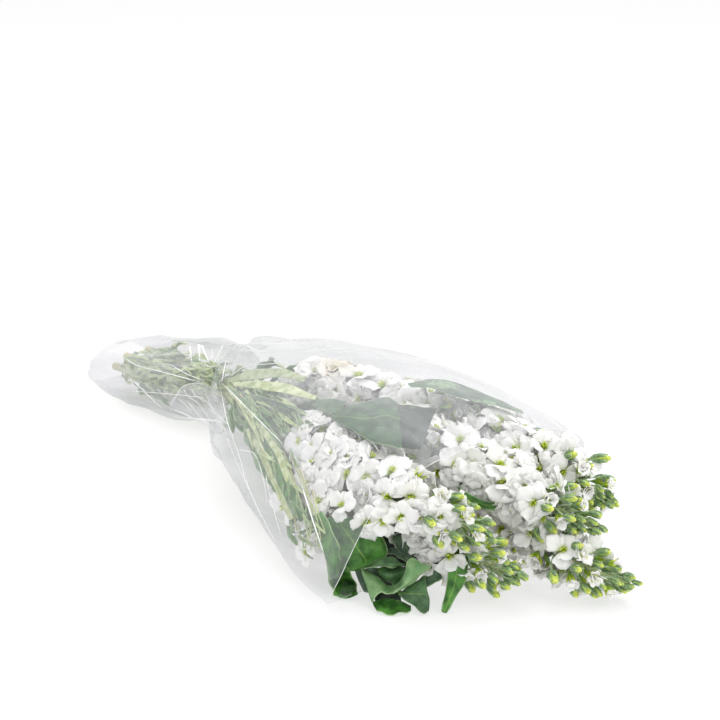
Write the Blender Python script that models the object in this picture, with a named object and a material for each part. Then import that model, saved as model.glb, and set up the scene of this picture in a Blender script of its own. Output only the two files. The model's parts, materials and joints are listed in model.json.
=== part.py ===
"""Sleeved bunch of white double stock, lying on its side.

Metres. +X runs from the cut ends to the flower tips, +Z is up. Eight leafy stems fan out from a
tied waist inside a clear film sleeve. Every stem carries a white head of double florets.
"""

import math
import random

import bmesh
import bpy
import numpy as np
from mathutils import Vector
from mathutils.bvhtree import BVHTree

# Driving sizes
GAP = 0.0003  # clear space between neighbours
SPARE = 0.00005  # and what a piece keeps beyond it
BORE_GAP = 0.0005  # round the rachis, inside the dense middle of its head
FILM = 0.0007  # film wall
LEAF = 0.0009  # leaf blade
R_CUT = 0.0041  # stem radius at the cut end
R_WAIST = 0.0033  # at the tie
R_HEAD = 0.0026  # under the lowest floret
R_TIP = 0.0012  # under the last bud
CORE = 0.0145  # radius of the dense middle of a head
HEAD = 0.0265  # from the rachis to the mouth of a floret
FLORET = 0.0185  # floret radius
BUD = 0.0036  # bud radius
BUD_LONG = 0.0105  # bud from its neck to its tip
GOLDEN = 137.5  # degrees from one floret or bud to the next round the stem
TILTED = (0.31, 0.17, 0.93)  # a direction that no floret or bud looks in
SIDES = 6  # corners of a stem
WAIST = (0.155, 0.022, 0.036)  # middle of the tied waist
RING = 0.0087  # the stems round the middle one at the waist
TIE = (0.1520, 0.1580, 0.01435, 0.01600)  # clear band: x from, x to, inner and outer radius

# One row per stem: angle round the waist (None is the middle one), x of the cut end, and the way
# of the rachis from the foot of the head to the last bud, then where the florets stop (0 to 1 of
# the head) and how many there are
STEMS = {
    "a": (36, 0.012, [(0.385, -0.079, 0.075), (0.450, -0.090, 0.079), (0.515, -0.091, 0.074),
                      (0.553, -0.083, 0.066), (0.594, -0.068, 0.056)], 0.74, 16),
    "b": (298, 0.002, [(0.455, -0.064, 0.033), (0.505, -0.070, 0.033), (0.555, -0.066, 0.031),
                       (0.607, -0.053, 0.025)], 0.66, 8),
    "c": (None, 0.030, [(0.425, -0.008, 0.069), (0.490, -0.015, 0.075), (0.548, -0.013, 0.071),
                        (0.590, -0.003, 0.063), (0.632, 0.010, 0.051)], 0.74, 15),
    "d": (139, 0.034, [(0.410, 0.048, 0.067), (0.475, 0.043, 0.074), (0.540, 0.040, 0.073),
                       (0.582, 0.039, 0.068), (0.620, 0.041, 0.059)], 0.74, 15),
    "e": (240, 0.018, [(0.460, 0.017, 0.029), (0.540, 0.008, 0.029), (0.597, -0.005, 0.028),
                       (0.632, 0.000, 0.022), (0.664, 0.015, 0.016)], 0.72, 12),
    "f": (88, 0.027, [(0.300, 0.000, 0.075), (0.345, 0.004, 0.086), (0.385, 0.012, 0.088),
                      (0.418, 0.022, 0.087), (0.452, 0.031, 0.086)], 0.80, 11),
    "g": (191, 0.022, [(0.315, 0.083, 0.046), (0.365, 0.093, 0.050), (0.420, 0.098, 0.050),
                       (0.460, 0.100, 0.047), (0.497, 0.106, 0.042)], 0.80, 10),
    "h": (345, -0.004, [(0.375, -0.076, 0.031), (0.415, -0.088, 0.030), (0.450, -0.096, 0.027),
                        (0.492, -0.100, 0.024)], 0.62, 6),
}

# Film sections: x, lean of x with height, y from, y to, bottom, top, height of the widest place,
# squareness of the top, depth of the pleats, how much the near side is higher
SLEEVE = [
    (-0.030, 0.10, -0.012, 0.056, 0.0, 0.034, 0.013, 2.0, 0.0, 0.0),
    (0.020, 0.0, -0.020, 0.068, 0.0, 0.053, 0.021, 2.0, 0.0, 0.0),
    (0.070, 0.0, -0.018, 0.064, 0.0, 0.058, 0.026, 2.0, 0.02, 0.0),
    (0.112, 0.0, -0.008, 0.054, 0.0, 0.061, 0.030, 2.0, 0.05, 0.0),
    (0.137, 0.0, 0.002, 0.043, 0.012, 0.060, 0.036, 2.0, 0.08, 0.0),
    (0.1513, 0.0, 0.008, 0.036, 0.022, 0.050, 0.036, 2.0, 0.0, 0.0),
    (0.1587, 0.0, 0.008, 0.036, 0.022, 0.050, 0.036, 2.0, 0.0, 0.0),
    (0.173, 0.0, 0.001, 0.045, 0.010, 0.064, 0.036, 2.0, 0.08, 0.0),
    (0.200, 0.0, -0.028, 0.070, 0.0, 0.082, 0.030, 2.0, 0.05, 0.0),
    (0.245, 0.0, -0.050, 0.092, 0.0, 0.100, 0.034, 2.0, 0.02, 0.0),
    (0.300, 0.05, -0.078, 0.116, 0.0, 0.116, 0.040, 2.2, 0.0, 0.0),
    (0.355, 0.10, -0.107, 0.130, 0.0, 0.122, 0.044, 2.4, 0.0, 0.04),
    (0.410, 0.16, -0.129, 0.137, 0.0, 0.122, 0.046, 2.5, 0.0, 0.08),
    (0.455, 0.28, -0.143, 0.137, 0.0, 0.118, 0.046, 2.6, 0.0, 0.11),
    (0.491, 0.42, -0.150, 0.132, 0.0, 0.110, 0.042, 2.6, 0.0, 0.12),
]
AROUND = 20

# Leaves with a place of their own: stem, x of the joint, way of the midrib after it, the side its
# face looks to, half width, fold, wave, how many rows of faces it has from end to end
LEAVES = [
    ("a", 0.352, [(0.378, -0.052, 0.088), (0.410, -0.055, 0.101), (0.441, -0.048, 0.1055),
                  (0.468, -0.030, 0.1050), (0.488, -0.014, 0.098)],
     (0.30, -0.45, 0.85), 0.0225, 0.12, 0.002, 6),
    ("g", 0.300, [(0.335, 0.060, 0.078), (0.375, 0.055, 0.0955), (0.415, 0.074, 0.0945),
                  (0.445, 0.094, 0.085), (0.462, 0.107, 0.073)], (0.2, 0.2, 1.0), 0.0120, 0.20, 0.002, 6),
    ("b", 0.430, [(0.465, -0.048, 0.048), (0.505, -0.046, 0.059), (0.545, -0.047, 0.067),
                  (0.580, -0.046, 0.068)], (0.2, -0.7, 0.7), 0.0058, 0.30, 0.001, 5),
    ("h", 0.452, [(0.459, -0.110, 0.040), (0.474, -0.1215, 0.045), (0.495, -0.126, 0.034),
                  (0.513, -0.117, 0.014)], (0.3, -0.8, 0.6), 0.0185, 0.12, 0.002, 6),
    ("h", 0.459, [(0.477, -0.118, 0.016), (0.494, -0.127, 0.010), (0.513, -0.132, 0.005)],
     (0.2, -0.5, 0.8), 0.0100, 0.15, 0.001, 5),
    ("h", 0.470, [(0.500, -0.100, 0.034), (0.527, -0.115, 0.040), (0.550, -0.122, 0.028),
                  (0.557, -0.116, 0.006)], (0.3, -0.7, 0.7), 0.0155, 0.30, 0.004, 6),
    ("h", 0.485, [(0.505, -0.112, 0.016), (0.522, -0.124, 0.012), (0.540, -0.140, 0.004)],
     (0.3, -0.4, 0.9), 0.0130, 0.10, 0.003, 5),
    ("h", 0.478, [(0.505, -0.090, 0.020), (0.532, -0.093, 0.016), (0.560, -0.101, 0.005)],
     (0.2, -0.3, 0.9), 0.0110, 0.10, 0.002, 5),
    ("b", 0.560, [(0.564, -0.080, 0.031), (0.571, -0.092, 0.021), (0.576, -0.102, 0.004)],
     (0.8, -0.5, 0.4), 0.0095, 0.25, 0.001, 5),
]
WIDE_LEAF = 0.018  # half width from which a leaf has five points across it, not three
SMALL_LEAVES = 2  # further leaves on each stem between the waist and the head

WHITE = (0.86, 0.86, 0.83)
GREEN = (0.20, 0.32, 0.12)
CLEAR = (0.90, 0.92, 0.92)

rng = random.Random(11)


def unit(v):
    v = np.asarray(v, float)
    return v / max(np.linalg.norm(v), 1e-12)


def curve(points, step):
    """Evenly spaced points on the smooth line through the points given."""
    p = np.array(points, float)
    p = np.vstack([2 * p[0] - p[1], p, 2 * p[-1] - p[-2]])
    fine = []
    for i in range(1, len(p) - 2):
        t = np.linspace(0, 1, 24, endpoint=False)[:, None]
        a, b, c, d = p[i - 1], p[i], p[i + 1], p[i + 2]
        fine.append(0.5 * (2 * b + (c - a) * t + (2 * a - 5 * b + 4 * c - d) * t**2
                           + (3 * b - a - 3 * c + d) * t**3))
    fine = np.vstack(fine + [p[-2][None]])
    way = np.r_[0, np.cumsum(np.linalg.norm(np.diff(fine, axis=0), axis=1))]
    n = max(2, int(round(way[-1] / step)) + 1)
    at = np.linspace(0, way[-1], n)
    return np.stack([np.interp(at, way, fine[:, k]) for k in range(3)], axis=1)


def frames(path):
    """Along, across and up at each point of a path that never stands upright."""
    along = np.gradient(path, axis=0)
    along /= np.linalg.norm(along, axis=1)[:, None]
    across = np.cross([0.0, 0.0, 1.0], along)
    across /= np.linalg.norm(across, axis=1)[:, None]
    return along, across, np.cross(along, across)


def ring(path, across, up, i, radius, sides):
    """Points round one place of a path."""
    turn = 2 * math.pi * np.arange(sides) / sides
    return path[i] + radius * (np.cos(turn)[:, None] * across[i] + np.sin(turn)[:, None] * up[i])


def band(a, b, n):
    """Triangles between two rings of n points that start at a and b."""
    faces = []
    for k in range(n):
        j = (k + 1) % n
        faces += [(a + k, a + j, b + j), (a + k, b + j, b + k)]
    return faces


def tube(path, radii, sides):
    """Closed rod along a path."""
    along, across, up = frames(path)
    n = len(path)
    verts = np.vstack([ring(path, across, up, i, radii[i], sides) for i in range(n)])
    faces = []
    for i in range(n - 1):
        faces += band(i * sides, (i + 1) * sides, sides)
    verts = np.vstack([verts, path[0], path[-1]])
    a, b = n * sides, n * sides + 1
    last = (n - 1) * sides
    for k in range(sides):
        j = (k + 1) % sides
        faces += [(a, j, k), (b, last + k, last + j)]
    return verts, faces


def floret(foot, mouth, axis, radius, turn, lobes):
    """Closed funnel with a wide lobed layer of petals round a raised inner crown."""
    side = unit(np.cross(axis, TILTED))
    other = np.cross(axis, side)
    rim, crown = [], []
    for k in range(lobes):
        base = turn + 2 * math.pi * k / lobes
        half = math.pi / lobes
        lift = rng.uniform(-0.10, 0.16)
        grow = rng.uniform(0.92, 1.08)
        for off, far, high in ((-half, 0.70, -0.06), (-0.5 * half, grow, lift), (0.5 * half, grow, lift)):
            a = base + off
            rim.append(mouth + radius * (far * (math.cos(a) * side + math.sin(a) * other) + high * axis))
        a = base + rng.uniform(-0.2, 0.2)
        up = rng.uniform(0.22, 0.40)
        crown.append(mouth + radius * (0.42 * (math.cos(a) * side + math.sin(a) * other) + up * axis))
    verts = np.vstack([rim, crown, mouth + 0.02 * radius * axis, foot])
    faces = []
    n = 3 * lobes
    for k in range(lobes):
        j = (k + 1) % lobes
        c, d = n + k, n + j
        n0, s0, s1, n1 = 3 * k, 3 * k + 1, 3 * k + 2, 3 * j
        faces += [(n + lobes, c, d), (c, n0, s0), (c, s0, s1), (c, s1, n1), (c, n1, d)]
    faces += [(n + lobes + 1, (k + 1) % n, k) for k in range(n)]
    return verts, faces


def blade(ways, face, half, fold, wave, rows, wide):
    """Leaf on a midrib. Both faces are split alike, so the blade is even all over."""
    path = curve(ways, 0.002)
    at = np.linspace(0, len(path) - 1, rows + 1)
    path = np.stack([np.interp(at, np.arange(len(path)), path[:, k]) for k in range(3)], axis=1)
    along = np.gradient(path, axis=0)
    along /= np.linalg.norm(along, axis=1)[:, None]
    cols = np.linspace(-1, 1, 5 if wide else 3)
    top, low = [], []
    turn = rng.uniform(0, 6.28)
    for i, p in enumerate(path):
        t = i / rows
        side = unit(np.cross(face, along[i]))
        norm = np.cross(along[i], side)
        reach = math.pi * min(1.0, max(0.0, (t - 0.03) / 0.94)) ** 1.15
        w = max(0.0013, half * max(0.0, math.sin(reach)) ** 0.75)
        if t < 0.02:
            w = 0.0011
        if i == rows:
            w = max(0.0016, 0.16 * half)
        for c in cols:
            sway = wave * math.sin(turn + 2.6 * math.pi * t + 1.7 * c) * min(1, w / half)
            rise = abs(c) * (fold * w + sway)
            q = p + side * c * w + norm * rise
            tip = unit(norm - side * np.sign(c) * fold) if c else norm
            top.append(q + tip * LEAF / 2)
            low.append(q - tip * LEAF / 2)
    m, n = len(cols), rows + 1
    verts = np.vstack([top, low])
    s = m * n
    faces = []
    for i in range(rows):
        for k in range(m - 1):
            a, b, c, d = i * m + k, i * m + k + 1, (i + 1) * m + k + 1, (i + 1) * m + k
            both = [(a, d, c), (a, c, b)] if (k < m // 2) else [(a, d, b), (b, d, c)]
            faces += both
            faces += [(s + f[0], s + f[2], s + f[1]) for f in both]
        for k, flip in ((0, False), (m - 1, True)):
            a, d = i * m + k, (i + 1) * m + k
            quad = [(a, s + a, s + d), (a, s + d, d)]
            faces += [f[::-1] for f in quad] if flip else quad
    for i, flip in ((0, True), (rows, False)):
        for k in range(m - 1):
            a, b = i * m + k, i * m + k + 1
            quad = [(a, s + a, s + b), (a, s + b, b)]
            faces += [f[::-1] for f in quad] if flip else quad
    return verts, faces


def bud(foot, neck, tip, radius):
    """Closed bud on its stalk."""
    axis = unit(tip - neck)
    side = unit(np.cross(axis, TILTED))
    other = np.cross(axis, side)
    turn = 2 * math.pi * np.arange(4) / 4
    circle = np.cos(turn)[:, None] * side + np.sin(turn)[:, None] * other
    belly = neck + 0.60 * (tip - neck)
    verts = np.vstack([foot + 0.0009 * circle, neck + 0.0014 * circle, belly + radius * circle, tip])
    faces = band(0, 4, 4) + band(4, 8, 4) + [(8 + k, 8 + (k + 1) % 4, 12) for k in range(4)]
    return verts, faces + [(0, 3, 2), (0, 2, 1)]


def turned_out(verts, faces):
    """The same faces, all seen from outside."""
    v = np.asarray(verts)
    f = np.asarray(faces)
    volume = np.einsum("ij,ij->i", v[f[:, 0]], np.cross(v[f[:, 1]], v[f[:, 2]])).sum()
    return faces if volume > 0 else [tuple(reversed(face)) for face in faces]


def swollen(verts, faces, by):
    """The same points, each moved out along its normal."""
    v, f = np.asarray(verts, float), np.asarray(faces)
    normal = np.zeros_like(v)
    flat = np.cross(v[f[:, 1]] - v[f[:, 0]], v[f[:, 2]] - v[f[:, 0]])
    for k in range(3):
        np.add.at(normal, f[:, k], flat)
    size = np.linalg.norm(normal, axis=1)[:, None]
    return v + by * normal / np.maximum(size, 1e-15)


pieces = {}  # node name: list of closed solids
guard = []  # node name, box, tree


def tree(verts, faces):
    return BVHTree.FromPolygons([Vector(v) for v in verts], faces, epsilon=0.0)


def fits(node, verts, faces):
    """True when the swollen piece meets no piece of another node and stays above the floor."""
    big = swollen(verts, faces, GAP + SPARE)
    lo, hi = big.min(0), big.max(0)
    if verts[:, 2].min() < 0.0:
        return False
    own = None
    for name, a, b, other in guard:
        if name == node or (lo > b).any() or (hi < a).any():
            continue
        own = own or tree(big, faces)
        if own.overlap(other):
            return False
    return True


def keep(node, verts, faces):
    """Adds a closed solid to its node."""
    faces = turned_out(verts, faces)
    pieces.setdefault(node, []).append((verts, faces))
    guard.append((node, verts.min(0), verts.max(0), tree(verts, faces)))


def material(name, colour, roughness, alpha=1.0):
    mat = bpy.data.materials.new(name)
    mat.use_nodes = True
    shader = mat.node_tree.nodes["Principled BSDF"]
    shader.inputs["Base Color"].default_value = (*colour, 1.0)
    shader.inputs["Roughness"].default_value = roughness
    shader.inputs["Metallic"].default_value = 0.0
    shader.inputs["Alpha"].default_value = alpha
    return mat


def solid(name, verts, faces):
    mesh = bpy.data.meshes.new(name)
    mesh.from_pydata([tuple(v) for v in verts], [], [tuple(f) for f in faces])
    mesh.update()
    obj = bpy.data.objects.new(name, mesh)
    bpy.context.scene.collection.objects.link(obj)
    return obj


def only_outside(obj):
    """Keeps the one outer skin: a sealed hollow is filled and a loose scrap is dropped."""
    bm = bmesh.new()
    bm.from_mesh(obj.data)
    bmesh.ops.triangulate(bm, faces=bm.faces)
    neat = bm.copy()
    bmesh.ops.remove_doubles(neat, verts=neat.verts, dist=0.00002)
    bmesh.ops.dissolve_degenerate(neat, edges=neat.edges, dist=0.00002)
    bmesh.ops.triangulate(neat, faces=neat.faces)
    if all(len(e.link_faces) == 2 for e in neat.edges):
        bm, neat = neat, bm
    neat.free()
    bm.faces.index_update()
    seen, skins = set(), []
    for face in bm.faces:
        if face.index in seen:
            continue
        skin, stack = [], [face]
        seen.add(face.index)
        while stack:
            f = stack.pop()
            skin.append(f)
            for e in f.edges:
                for g in e.link_faces:
                    if g.index not in seen:
                        seen.add(g.index)
                        stack.append(g)
        volume = sum(f.verts[0].co.dot(f.verts[1].co.cross(f.verts[2].co)) for f in skin) / 6
        skins.append((volume, skin))
    skins.sort(key=lambda s: -s[0])
    drop = [f for _, skin in skins[1:] for f in skin]
    if drop:
        bmesh.ops.delete(bm, geom=drop, context="FACES")
    loose = [v for v in bm.verts if not v.link_faces]
    if loose:
        bmesh.ops.delete(bm, geom=loose, context="VERTS")
    bm.to_mesh(obj.data)
    bm.free()


def fused(name, mat):
    """One body from all the solids of a node."""
    base = solid(name, *pieces[name][0])
    group = bpy.data.collections.new(name + "_parts")
    bpy.context.scene.collection.children.link(group)
    for k, (verts, faces) in enumerate(pieces[name][1:]):
        obj = solid(f"{name}_{k}", verts, faces)
        bpy.context.scene.collection.objects.unlink(obj)
        group.objects.link(obj)
    if group.objects:
        mod = base.modifiers.new("fuse", "BOOLEAN")
        mod.operation = "UNION"
        mod.operand_type = "COLLECTION"
        mod.collection = group
        mod.solver = "MANIFOLD"
        bpy.context.view_layer.objects.active = base
        bpy.ops.object.modifier_apply(modifier=mod.name)
    for obj in list(group.objects):
        bpy.data.objects.remove(obj, do_unlink=True)
    bpy.data.collections.remove(group)
    only_outside(base)
    base.data.materials.clear()
    base.data.materials.append(mat)
    return base


def flat_underside(obj):
    """The film lies on the surface with one flat face."""
    bm = bmesh.new()
    bm.from_mesh(obj.data)
    flat = [f for f in bm.faces if all(v.co.z == 0.0 and v.co.x > 0.24 for v in f.verts)]
    bmesh.ops.dissolve_faces(bm, faces=flat)
    bm.to_mesh(obj.data)
    bm.free()


def film_ring(row):
    """One closed section of the film."""
    x, lean, y0, y1, bottom, top, wide, square, pleat, high = row
    yc, half = (y0 + y1) / 2, (y1 - y0) / 2
    pts = []
    for k in range(AROUND):
        a = 2 * math.pi * (k + 0.5) / AROUND
        c, s = math.cos(a), math.sin(a)
        n = square if s > 0 else (2.0 if bottom > 0 else 4.0)
        grow = 1 + pleat * (1 if k % 2 else -1)
        y = yc + grow * half * math.copysign(abs(c) ** (2 / n), c)
        if s > 0:
            z = wide + grow * (1 - high * (y - yc) / half) * (top - wide) * abs(s) ** (2 / n)
        else:
            z = wide - grow * (wide - bottom) * abs(s) ** (2 / n)
        if bottom == 0.0 and z < 0.30 * wide and s < -0.5:
            z = 0.0
        z = max(z, 0.0)
        pts.append((x + lean * z, y, z))
    return np.array(pts)


def sleeve():
    """The film, open at the mouth and at the foot."""
    outer = np.vstack([film_ring(row) for row in SLEEVE])
    rows = len(SLEEVE)
    skin = []
    for i in range(rows - 1):
        skin += band(i * AROUND, (i + 1) * AROUND, AROUND)
    middle = np.array([(r[0], (r[2] + r[3]) / 2, r[6]) for r in SLEEVE])
    out = swollen(outer, skin, 1.0) - outer
    facing = np.sign(np.einsum("ij,ij->i", out, outer - np.repeat(middle, AROUND, axis=0)).mean())
    inner = outer - facing * out * FILM
    flat = outer[:, 2] == 0.0
    inner[flat, 2] = FILM
    s = len(outer)
    faces = list(skin) + [(s + a, s + c, s + b) for a, b, c in skin]
    last = (rows - 1) * AROUND
    for k in range(AROUND):
        j = (k + 1) % AROUND
        faces += [(k, s + j, j), (k, s + k, s + j)]
        faces += [(last + k, last + j, s + last + j), (last + k, s + last + j, s + last + k)]
    verts = np.vstack([outer, inner])
    keep("sleeve", verts, faces)


def tie():
    """Clear band on the straight part of the waist."""
    x0, x1, inside, outside = TIE
    yc, zc = WAIST[1], WAIST[2]
    a = 2 * math.pi * (np.arange(AROUND) + 0.5) / AROUND
    rows = []
    for x, r in ((x0, inside), (x0, outside), (x1, outside), (x1, inside)):
        rows.append(np.stack([np.full(AROUND, x), yc + r * np.cos(a), zc + r * np.sin(a)], axis=1))
    faces = []
    for i in range(4):
        faces += band(i * AROUND, ((i + 1) % 4) * AROUND, AROUND)
    keep("tie", np.vstack(rows), faces)


stems = {}


def plan_stems():
    """The way of each stem from its cut end to its last bud."""
    for name, (angle, end, head, stop, count) in STEMS.items():
        a = math.radians(angle or 0.0)
        off = np.array([0.0, -math.cos(a), math.sin(a)]) * (0.0 if angle is None else 1.0)
        w = np.array(WAIST)
        low = np.array([end, 0.024, 0.0275]) + off * np.array([0, 0.021, 0.0165])
        mid = np.array([0.075, 0.022, 0.030]) + off * np.array([0, 0.0155, 0.0145])
        ways = [low, mid, w - (0.022, 0, 0.0007) + off * (RING + 0.0010), w + off * RING,
                w + (0.022, 0, 0.0007) + off * (RING + 0.0012)]
        path = curve(ways + [np.array(p) for p in head], 0.001)
        way = np.r_[0, np.cumsum(np.linalg.norm(np.diff(path, axis=0), axis=1))]
        foot = np.argmin(np.linalg.norm(path - np.array(head[0]), axis=1))
        # rings of the rod stand at the marks, so that the rods keep apart at the waist
        marks = [way[np.argmin(np.linalg.norm(path - np.array(q), axis=1))] for q in ways[1:]]
        waist = np.argmin(np.linalg.norm(path - ways[3], axis=1))
        radius = np.interp(way, [0, way[waist], way[foot], way[-1]], [R_CUT, R_WAIST, R_HEAD, R_TIP])
        stems[name] = dict(path=path, way=way, foot=way[foot], radius=radius, stop=stop, count=count,
                           marks=marks)


def spot(s, at):
    """Point, along, across, up and radius at a length on a stem."""
    p = np.array([np.interp(at, s["way"], s["path"][:, k]) for k in range(3)])
    q = np.array([np.interp(at + 0.002, s["way"], s["path"][:, k]) for k in range(3)])
    o = np.array([np.interp(at - 0.002, s["way"], s["path"][:, k]) for k in range(3)])
    along = unit(q - o)
    across = unit(np.cross([0, 0, 1.0], along))
    return p, along, across, np.cross(along, across), np.interp(at, s["way"], s["radius"])


def rods():
    """The rod of each stem, up to its last bud."""
    for name, s in stems.items():
        # rings of the rachis and of the bore round it share their places, so the gap is even
        low = [0.0, s["marks"][0] * 0.5] + s["marks"]
        n_low = max(2, int(round((s["foot"] - low[-1]) / 0.042)) + 1)
        last = s["foot"] + (s["stop"] + (1 - s["stop"]) * 0.70) * (s["way"][-1] - s["foot"])
        n_head = max(3, int(round((last - s["foot"]) / 0.036)) + 1)
        at = np.r_[low[:-1], np.linspace(low[-1], s["foot"], n_low),
                   np.linspace(s["foot"], last, n_head)[1:]]
        p = np.stack([np.interp(at, s["way"], s["path"][:, k]) for k in range(3)], axis=1)
        r = np.interp(at, s["way"], s["radius"])
        s["at"], s["p"], s["r"] = at, p, r
        verts, faces = tube(p, r, SIDES)
        keep("stem_" + name, verts, faces)


def cores():
    """The dense middle of each head, with a plain bore for the rachis."""
    for name, s in stems.items():
        s["end"] = s["foot"] + s["stop"] * (s["way"][-1] - s["foot"])
        first = s["foot"] + 0.004
        inside = s["at"][(s["at"] > first + 0.004) & (s["at"] < s["end"] - 0.004)]
        at = np.r_[first, inside, s["end"]]
        along, across, up = frames(s["p"])
        # read on the same straight runs as the rachis
        p = np.stack([np.interp(at, s["at"], s["p"][:, k]) for k in range(3)], axis=1)
        bore = np.interp(at, s["at"], s["r"]) + BORE_GAP
        t = np.linspace(0, 1, len(at))
        outer = CORE * np.where(t < 0.01, 0.50, np.where(t > 0.99, 0.35, 1 - 0.30 * t))
        outer = outer * (0.62 if name == "h" else 1.0)
        a2 = np.stack([np.interp(at, s["at"], across[:, k]) for k in range(3)], axis=1)
        u2 = np.stack([np.interp(at, s["at"], up[:, k]) for k in range(3)], axis=1)
        outer = np.maximum(outer, bore + 0.0022)
        s["core"] = at, bore, outer
        rows = [ring(p, a2, u2, i, outer[i], SIDES) for i in range(len(at))]
        rows += [ring(p, a2, u2, i, bore[i], SIDES) for i in reversed(range(len(at)))]
        faces = []
        for i in range(len(rows)):
            faces += band(i * SIDES, ((i + 1) % len(rows)) * SIDES, SIDES)
        verts = np.vstack(rows)
        keep("bloom_" + name, verts, faces)


def place_leaf(node, s, at, ways, face, half, fold, wave, rows, wide):
    """Adds a leaf where it meets nothing, a little smaller and to one side after each try."""
    p = spot(s, at)[0]
    for go in range(8):
        size = 1 - 0.05 * go
        nudge = np.array([rng.uniform(-1, 1) for _ in range(3)]) * 0.0022 * go
        way = [p] + [np.array(q) + nudge * (k + 1) / len(ways) for k, q in enumerate(ways)]
        verts, faces = blade(way, face, half * size, fold, wave, rows, wide)
        if fits(node, verts, faces):
            keep(node, verts, faces)
            return


def chosen_leaves():
    """The leaves that have a place of their own."""
    for name, x, ways, face, half, fold, wave, rows in LEAVES:
        s = stems[name]
        at = np.interp(x, s["path"][:, 0], s["way"])
        place_leaf("stem_" + name, s, at, ways, face, half, fold, wave, rows, half > WIDE_LEAF)


def further_leaves():
    """A short leaf below the waist on each stem, and longer ones from there to the head."""
    for name, s in stems.items():
        spans = [(0.030, 0.105, 1)] + [(0.20, s["foot"] - 0.03, SMALL_LEAVES)]
        for lo, hi, count in spans:
            for k in range(count):
                for go in range(30):
                    at = lo + (hi - lo) * (k + rng.uniform(0.1, 0.9)) / count
                    p, along, across, up, r = spot(s, at)
                    a = rng.uniform(0, 2 * math.pi)
                    out = math.cos(a) * across + math.sin(a) * up
                    long = rng.uniform(0.045, 0.085) * (0.6 if lo < 0.1 else 1.0) * (1 - 0.012 * go)
                    half = long * rng.uniform(0.12, 0.17)
                    lean = rng.uniform(0.25, 0.6)
                    bend = rng.uniform(-0.2, 0.35)
                    way = [p]
                    for t in (0.2, 0.5, 0.8, 1.0):
                        away = 0.004 + long * lean * math.sin(1.5 * t) - bend * long * t * t
                        q = p + along * long * t + out * away
                        q[2] = max(q[2], 0.004)
                        way.append(q)
                    verts, faces = blade(way, out, half, rng.uniform(0.1, 0.4), 0.0015, 4, False)
                    if fits("stem_" + name, verts, faces):
                        keep("stem_" + name, verts, faces)
                        break


def florets():
    """Florets round each head in a golden spiral, smaller and closer in towards its end."""
    for name, s in stems.items():
        node = "bloom_" + name
        span = s["end"] - s["foot"]
        phase = rng.uniform(0, 360)
        for k in range(s["count"]):
            t = (k + 0.5) / s["count"]
            for go in range(6):
                at = s["foot"] + 0.007 + (span - 0.011) * min(1, max(0, t + rng.uniform(-0.02, 0.02) * go))
                p, along, across, up, r = spot(s, at)
                a = math.radians(phase + GOLDEN * k + rng.uniform(-9, 9) * (1 + go))
                out = math.cos(a) * across + math.sin(a) * up
                lean = math.radians(6 + 34 * t**1.5)
                axis = unit(out * math.cos(lean) + along * math.sin(lean))
                size = (1 - 0.34 * t**2) * rng.uniform(0.94, 1.06) * (1 - 0.06 * go)
                reach = HEAD * (1 - 0.30 * t**2) * (1 - 0.045 * go)
                where, bore, outer = s["core"]
                root = 0.5 * (np.interp(at, where, bore) + 0.84 * np.interp(at, where, outer))
                verts, faces = floret(p + out * root, p + axis * reach, axis, FLORET * size,
                                      rng.uniform(0, 6.28), 5 if name in "acd" else 4)
                if fits(node, verts, faces):
                    keep(node, verts, faces)
                    break


def buds():
    """Stalked buds past the last floret."""
    for name, s in stems.items():
        node = "stem_" + name
        count = 11 if name in "abcde" else 6
        span = s["way"][-1] - s["end"]
        for k in range(count):
            t = (k + 0.5) / count
            for go in range(8):
                at = s["end"] + 0.004 + span * 0.60 * t
                p, along, across, up, r = spot(s, at)
                a = math.radians(GOLDEN * k + 50 + rng.uniform(-12, 12) * (1 + go))
                out = math.cos(a) * across + math.sin(a) * up
                lean = math.radians(46 + 34 * t)
                axis = unit(out * math.cos(lean) + along * math.sin(lean))
                stalk = (0.0125 - 0.0050 * t) * (1 - 0.06 * go)
                size = 1 - 0.25 * t
                neck = p + axis * (r + stalk)
                tip = neck + unit(axis + 0.9 * along) * BUD_LONG * size
                verts, faces = bud(p, neck, tip, BUD * size)
                if fits(node, verts, faces):
                    keep(node, verts, faces)
                    break


def centre_on_floor(objs):
    """Moves every mesh so that the bunch lies on z = 0, with the origin under its middle."""
    lo = np.min([np.array(o.data.vertices[0].co) for o in objs], axis=0)
    hi = lo.copy()
    for o in objs:
        v = np.array([w.co for w in o.data.vertices])
        lo, hi = np.minimum(lo, v.min(0)), np.maximum(hi, v.max(0))
    move = np.array([-(lo[0] + hi[0]) / 2, -(lo[1] + hi[1]) / 2, -lo[2]])
    for o in objs:
        for w in o.data.vertices:
            w.co = Vector(np.array(w.co) + move)
        o.data.update()


def main():
    for obj in list(bpy.data.objects):
        bpy.data.objects.remove(obj, do_unlink=True)
    plan_stems()
    sleeve()
    tie()
    rods()
    cores()
    chosen_leaves()
    florets()
    buds()
    further_leaves()
    green = material("leaf and stem green", GREEN, 0.55)
    white = material("petal white", WHITE, 0.60)
    clear = material("clear film", CLEAR, 0.12, 0.35)
    objs = []
    for name in STEMS:
        objs.append(fused("stem_" + name, green))
        objs.append(fused("bloom_" + name, white))
    objs.append(fused("sleeve", clear))
    flat_underside(objs[-1])
    objs.append(fused("tie", clear.copy()))
    objs[-1].data.materials[0].name = "clear tie"
    centre_on_floor(objs)


main()
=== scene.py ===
"""Finish of a sleeved bunch of white double stock, lying on its side.

Metres. The bunch has its own measure: x from the cut ends to the flower tips, y across, z up.
SHIFT takes it into the frame. Everything stands where the frame has it.
"""

import json
import math
import random

import bpy
import numpy as np
from mathutils import Euler, Matrix, Vector, noise
from mathutils.bvhtree import BVHTree

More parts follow.
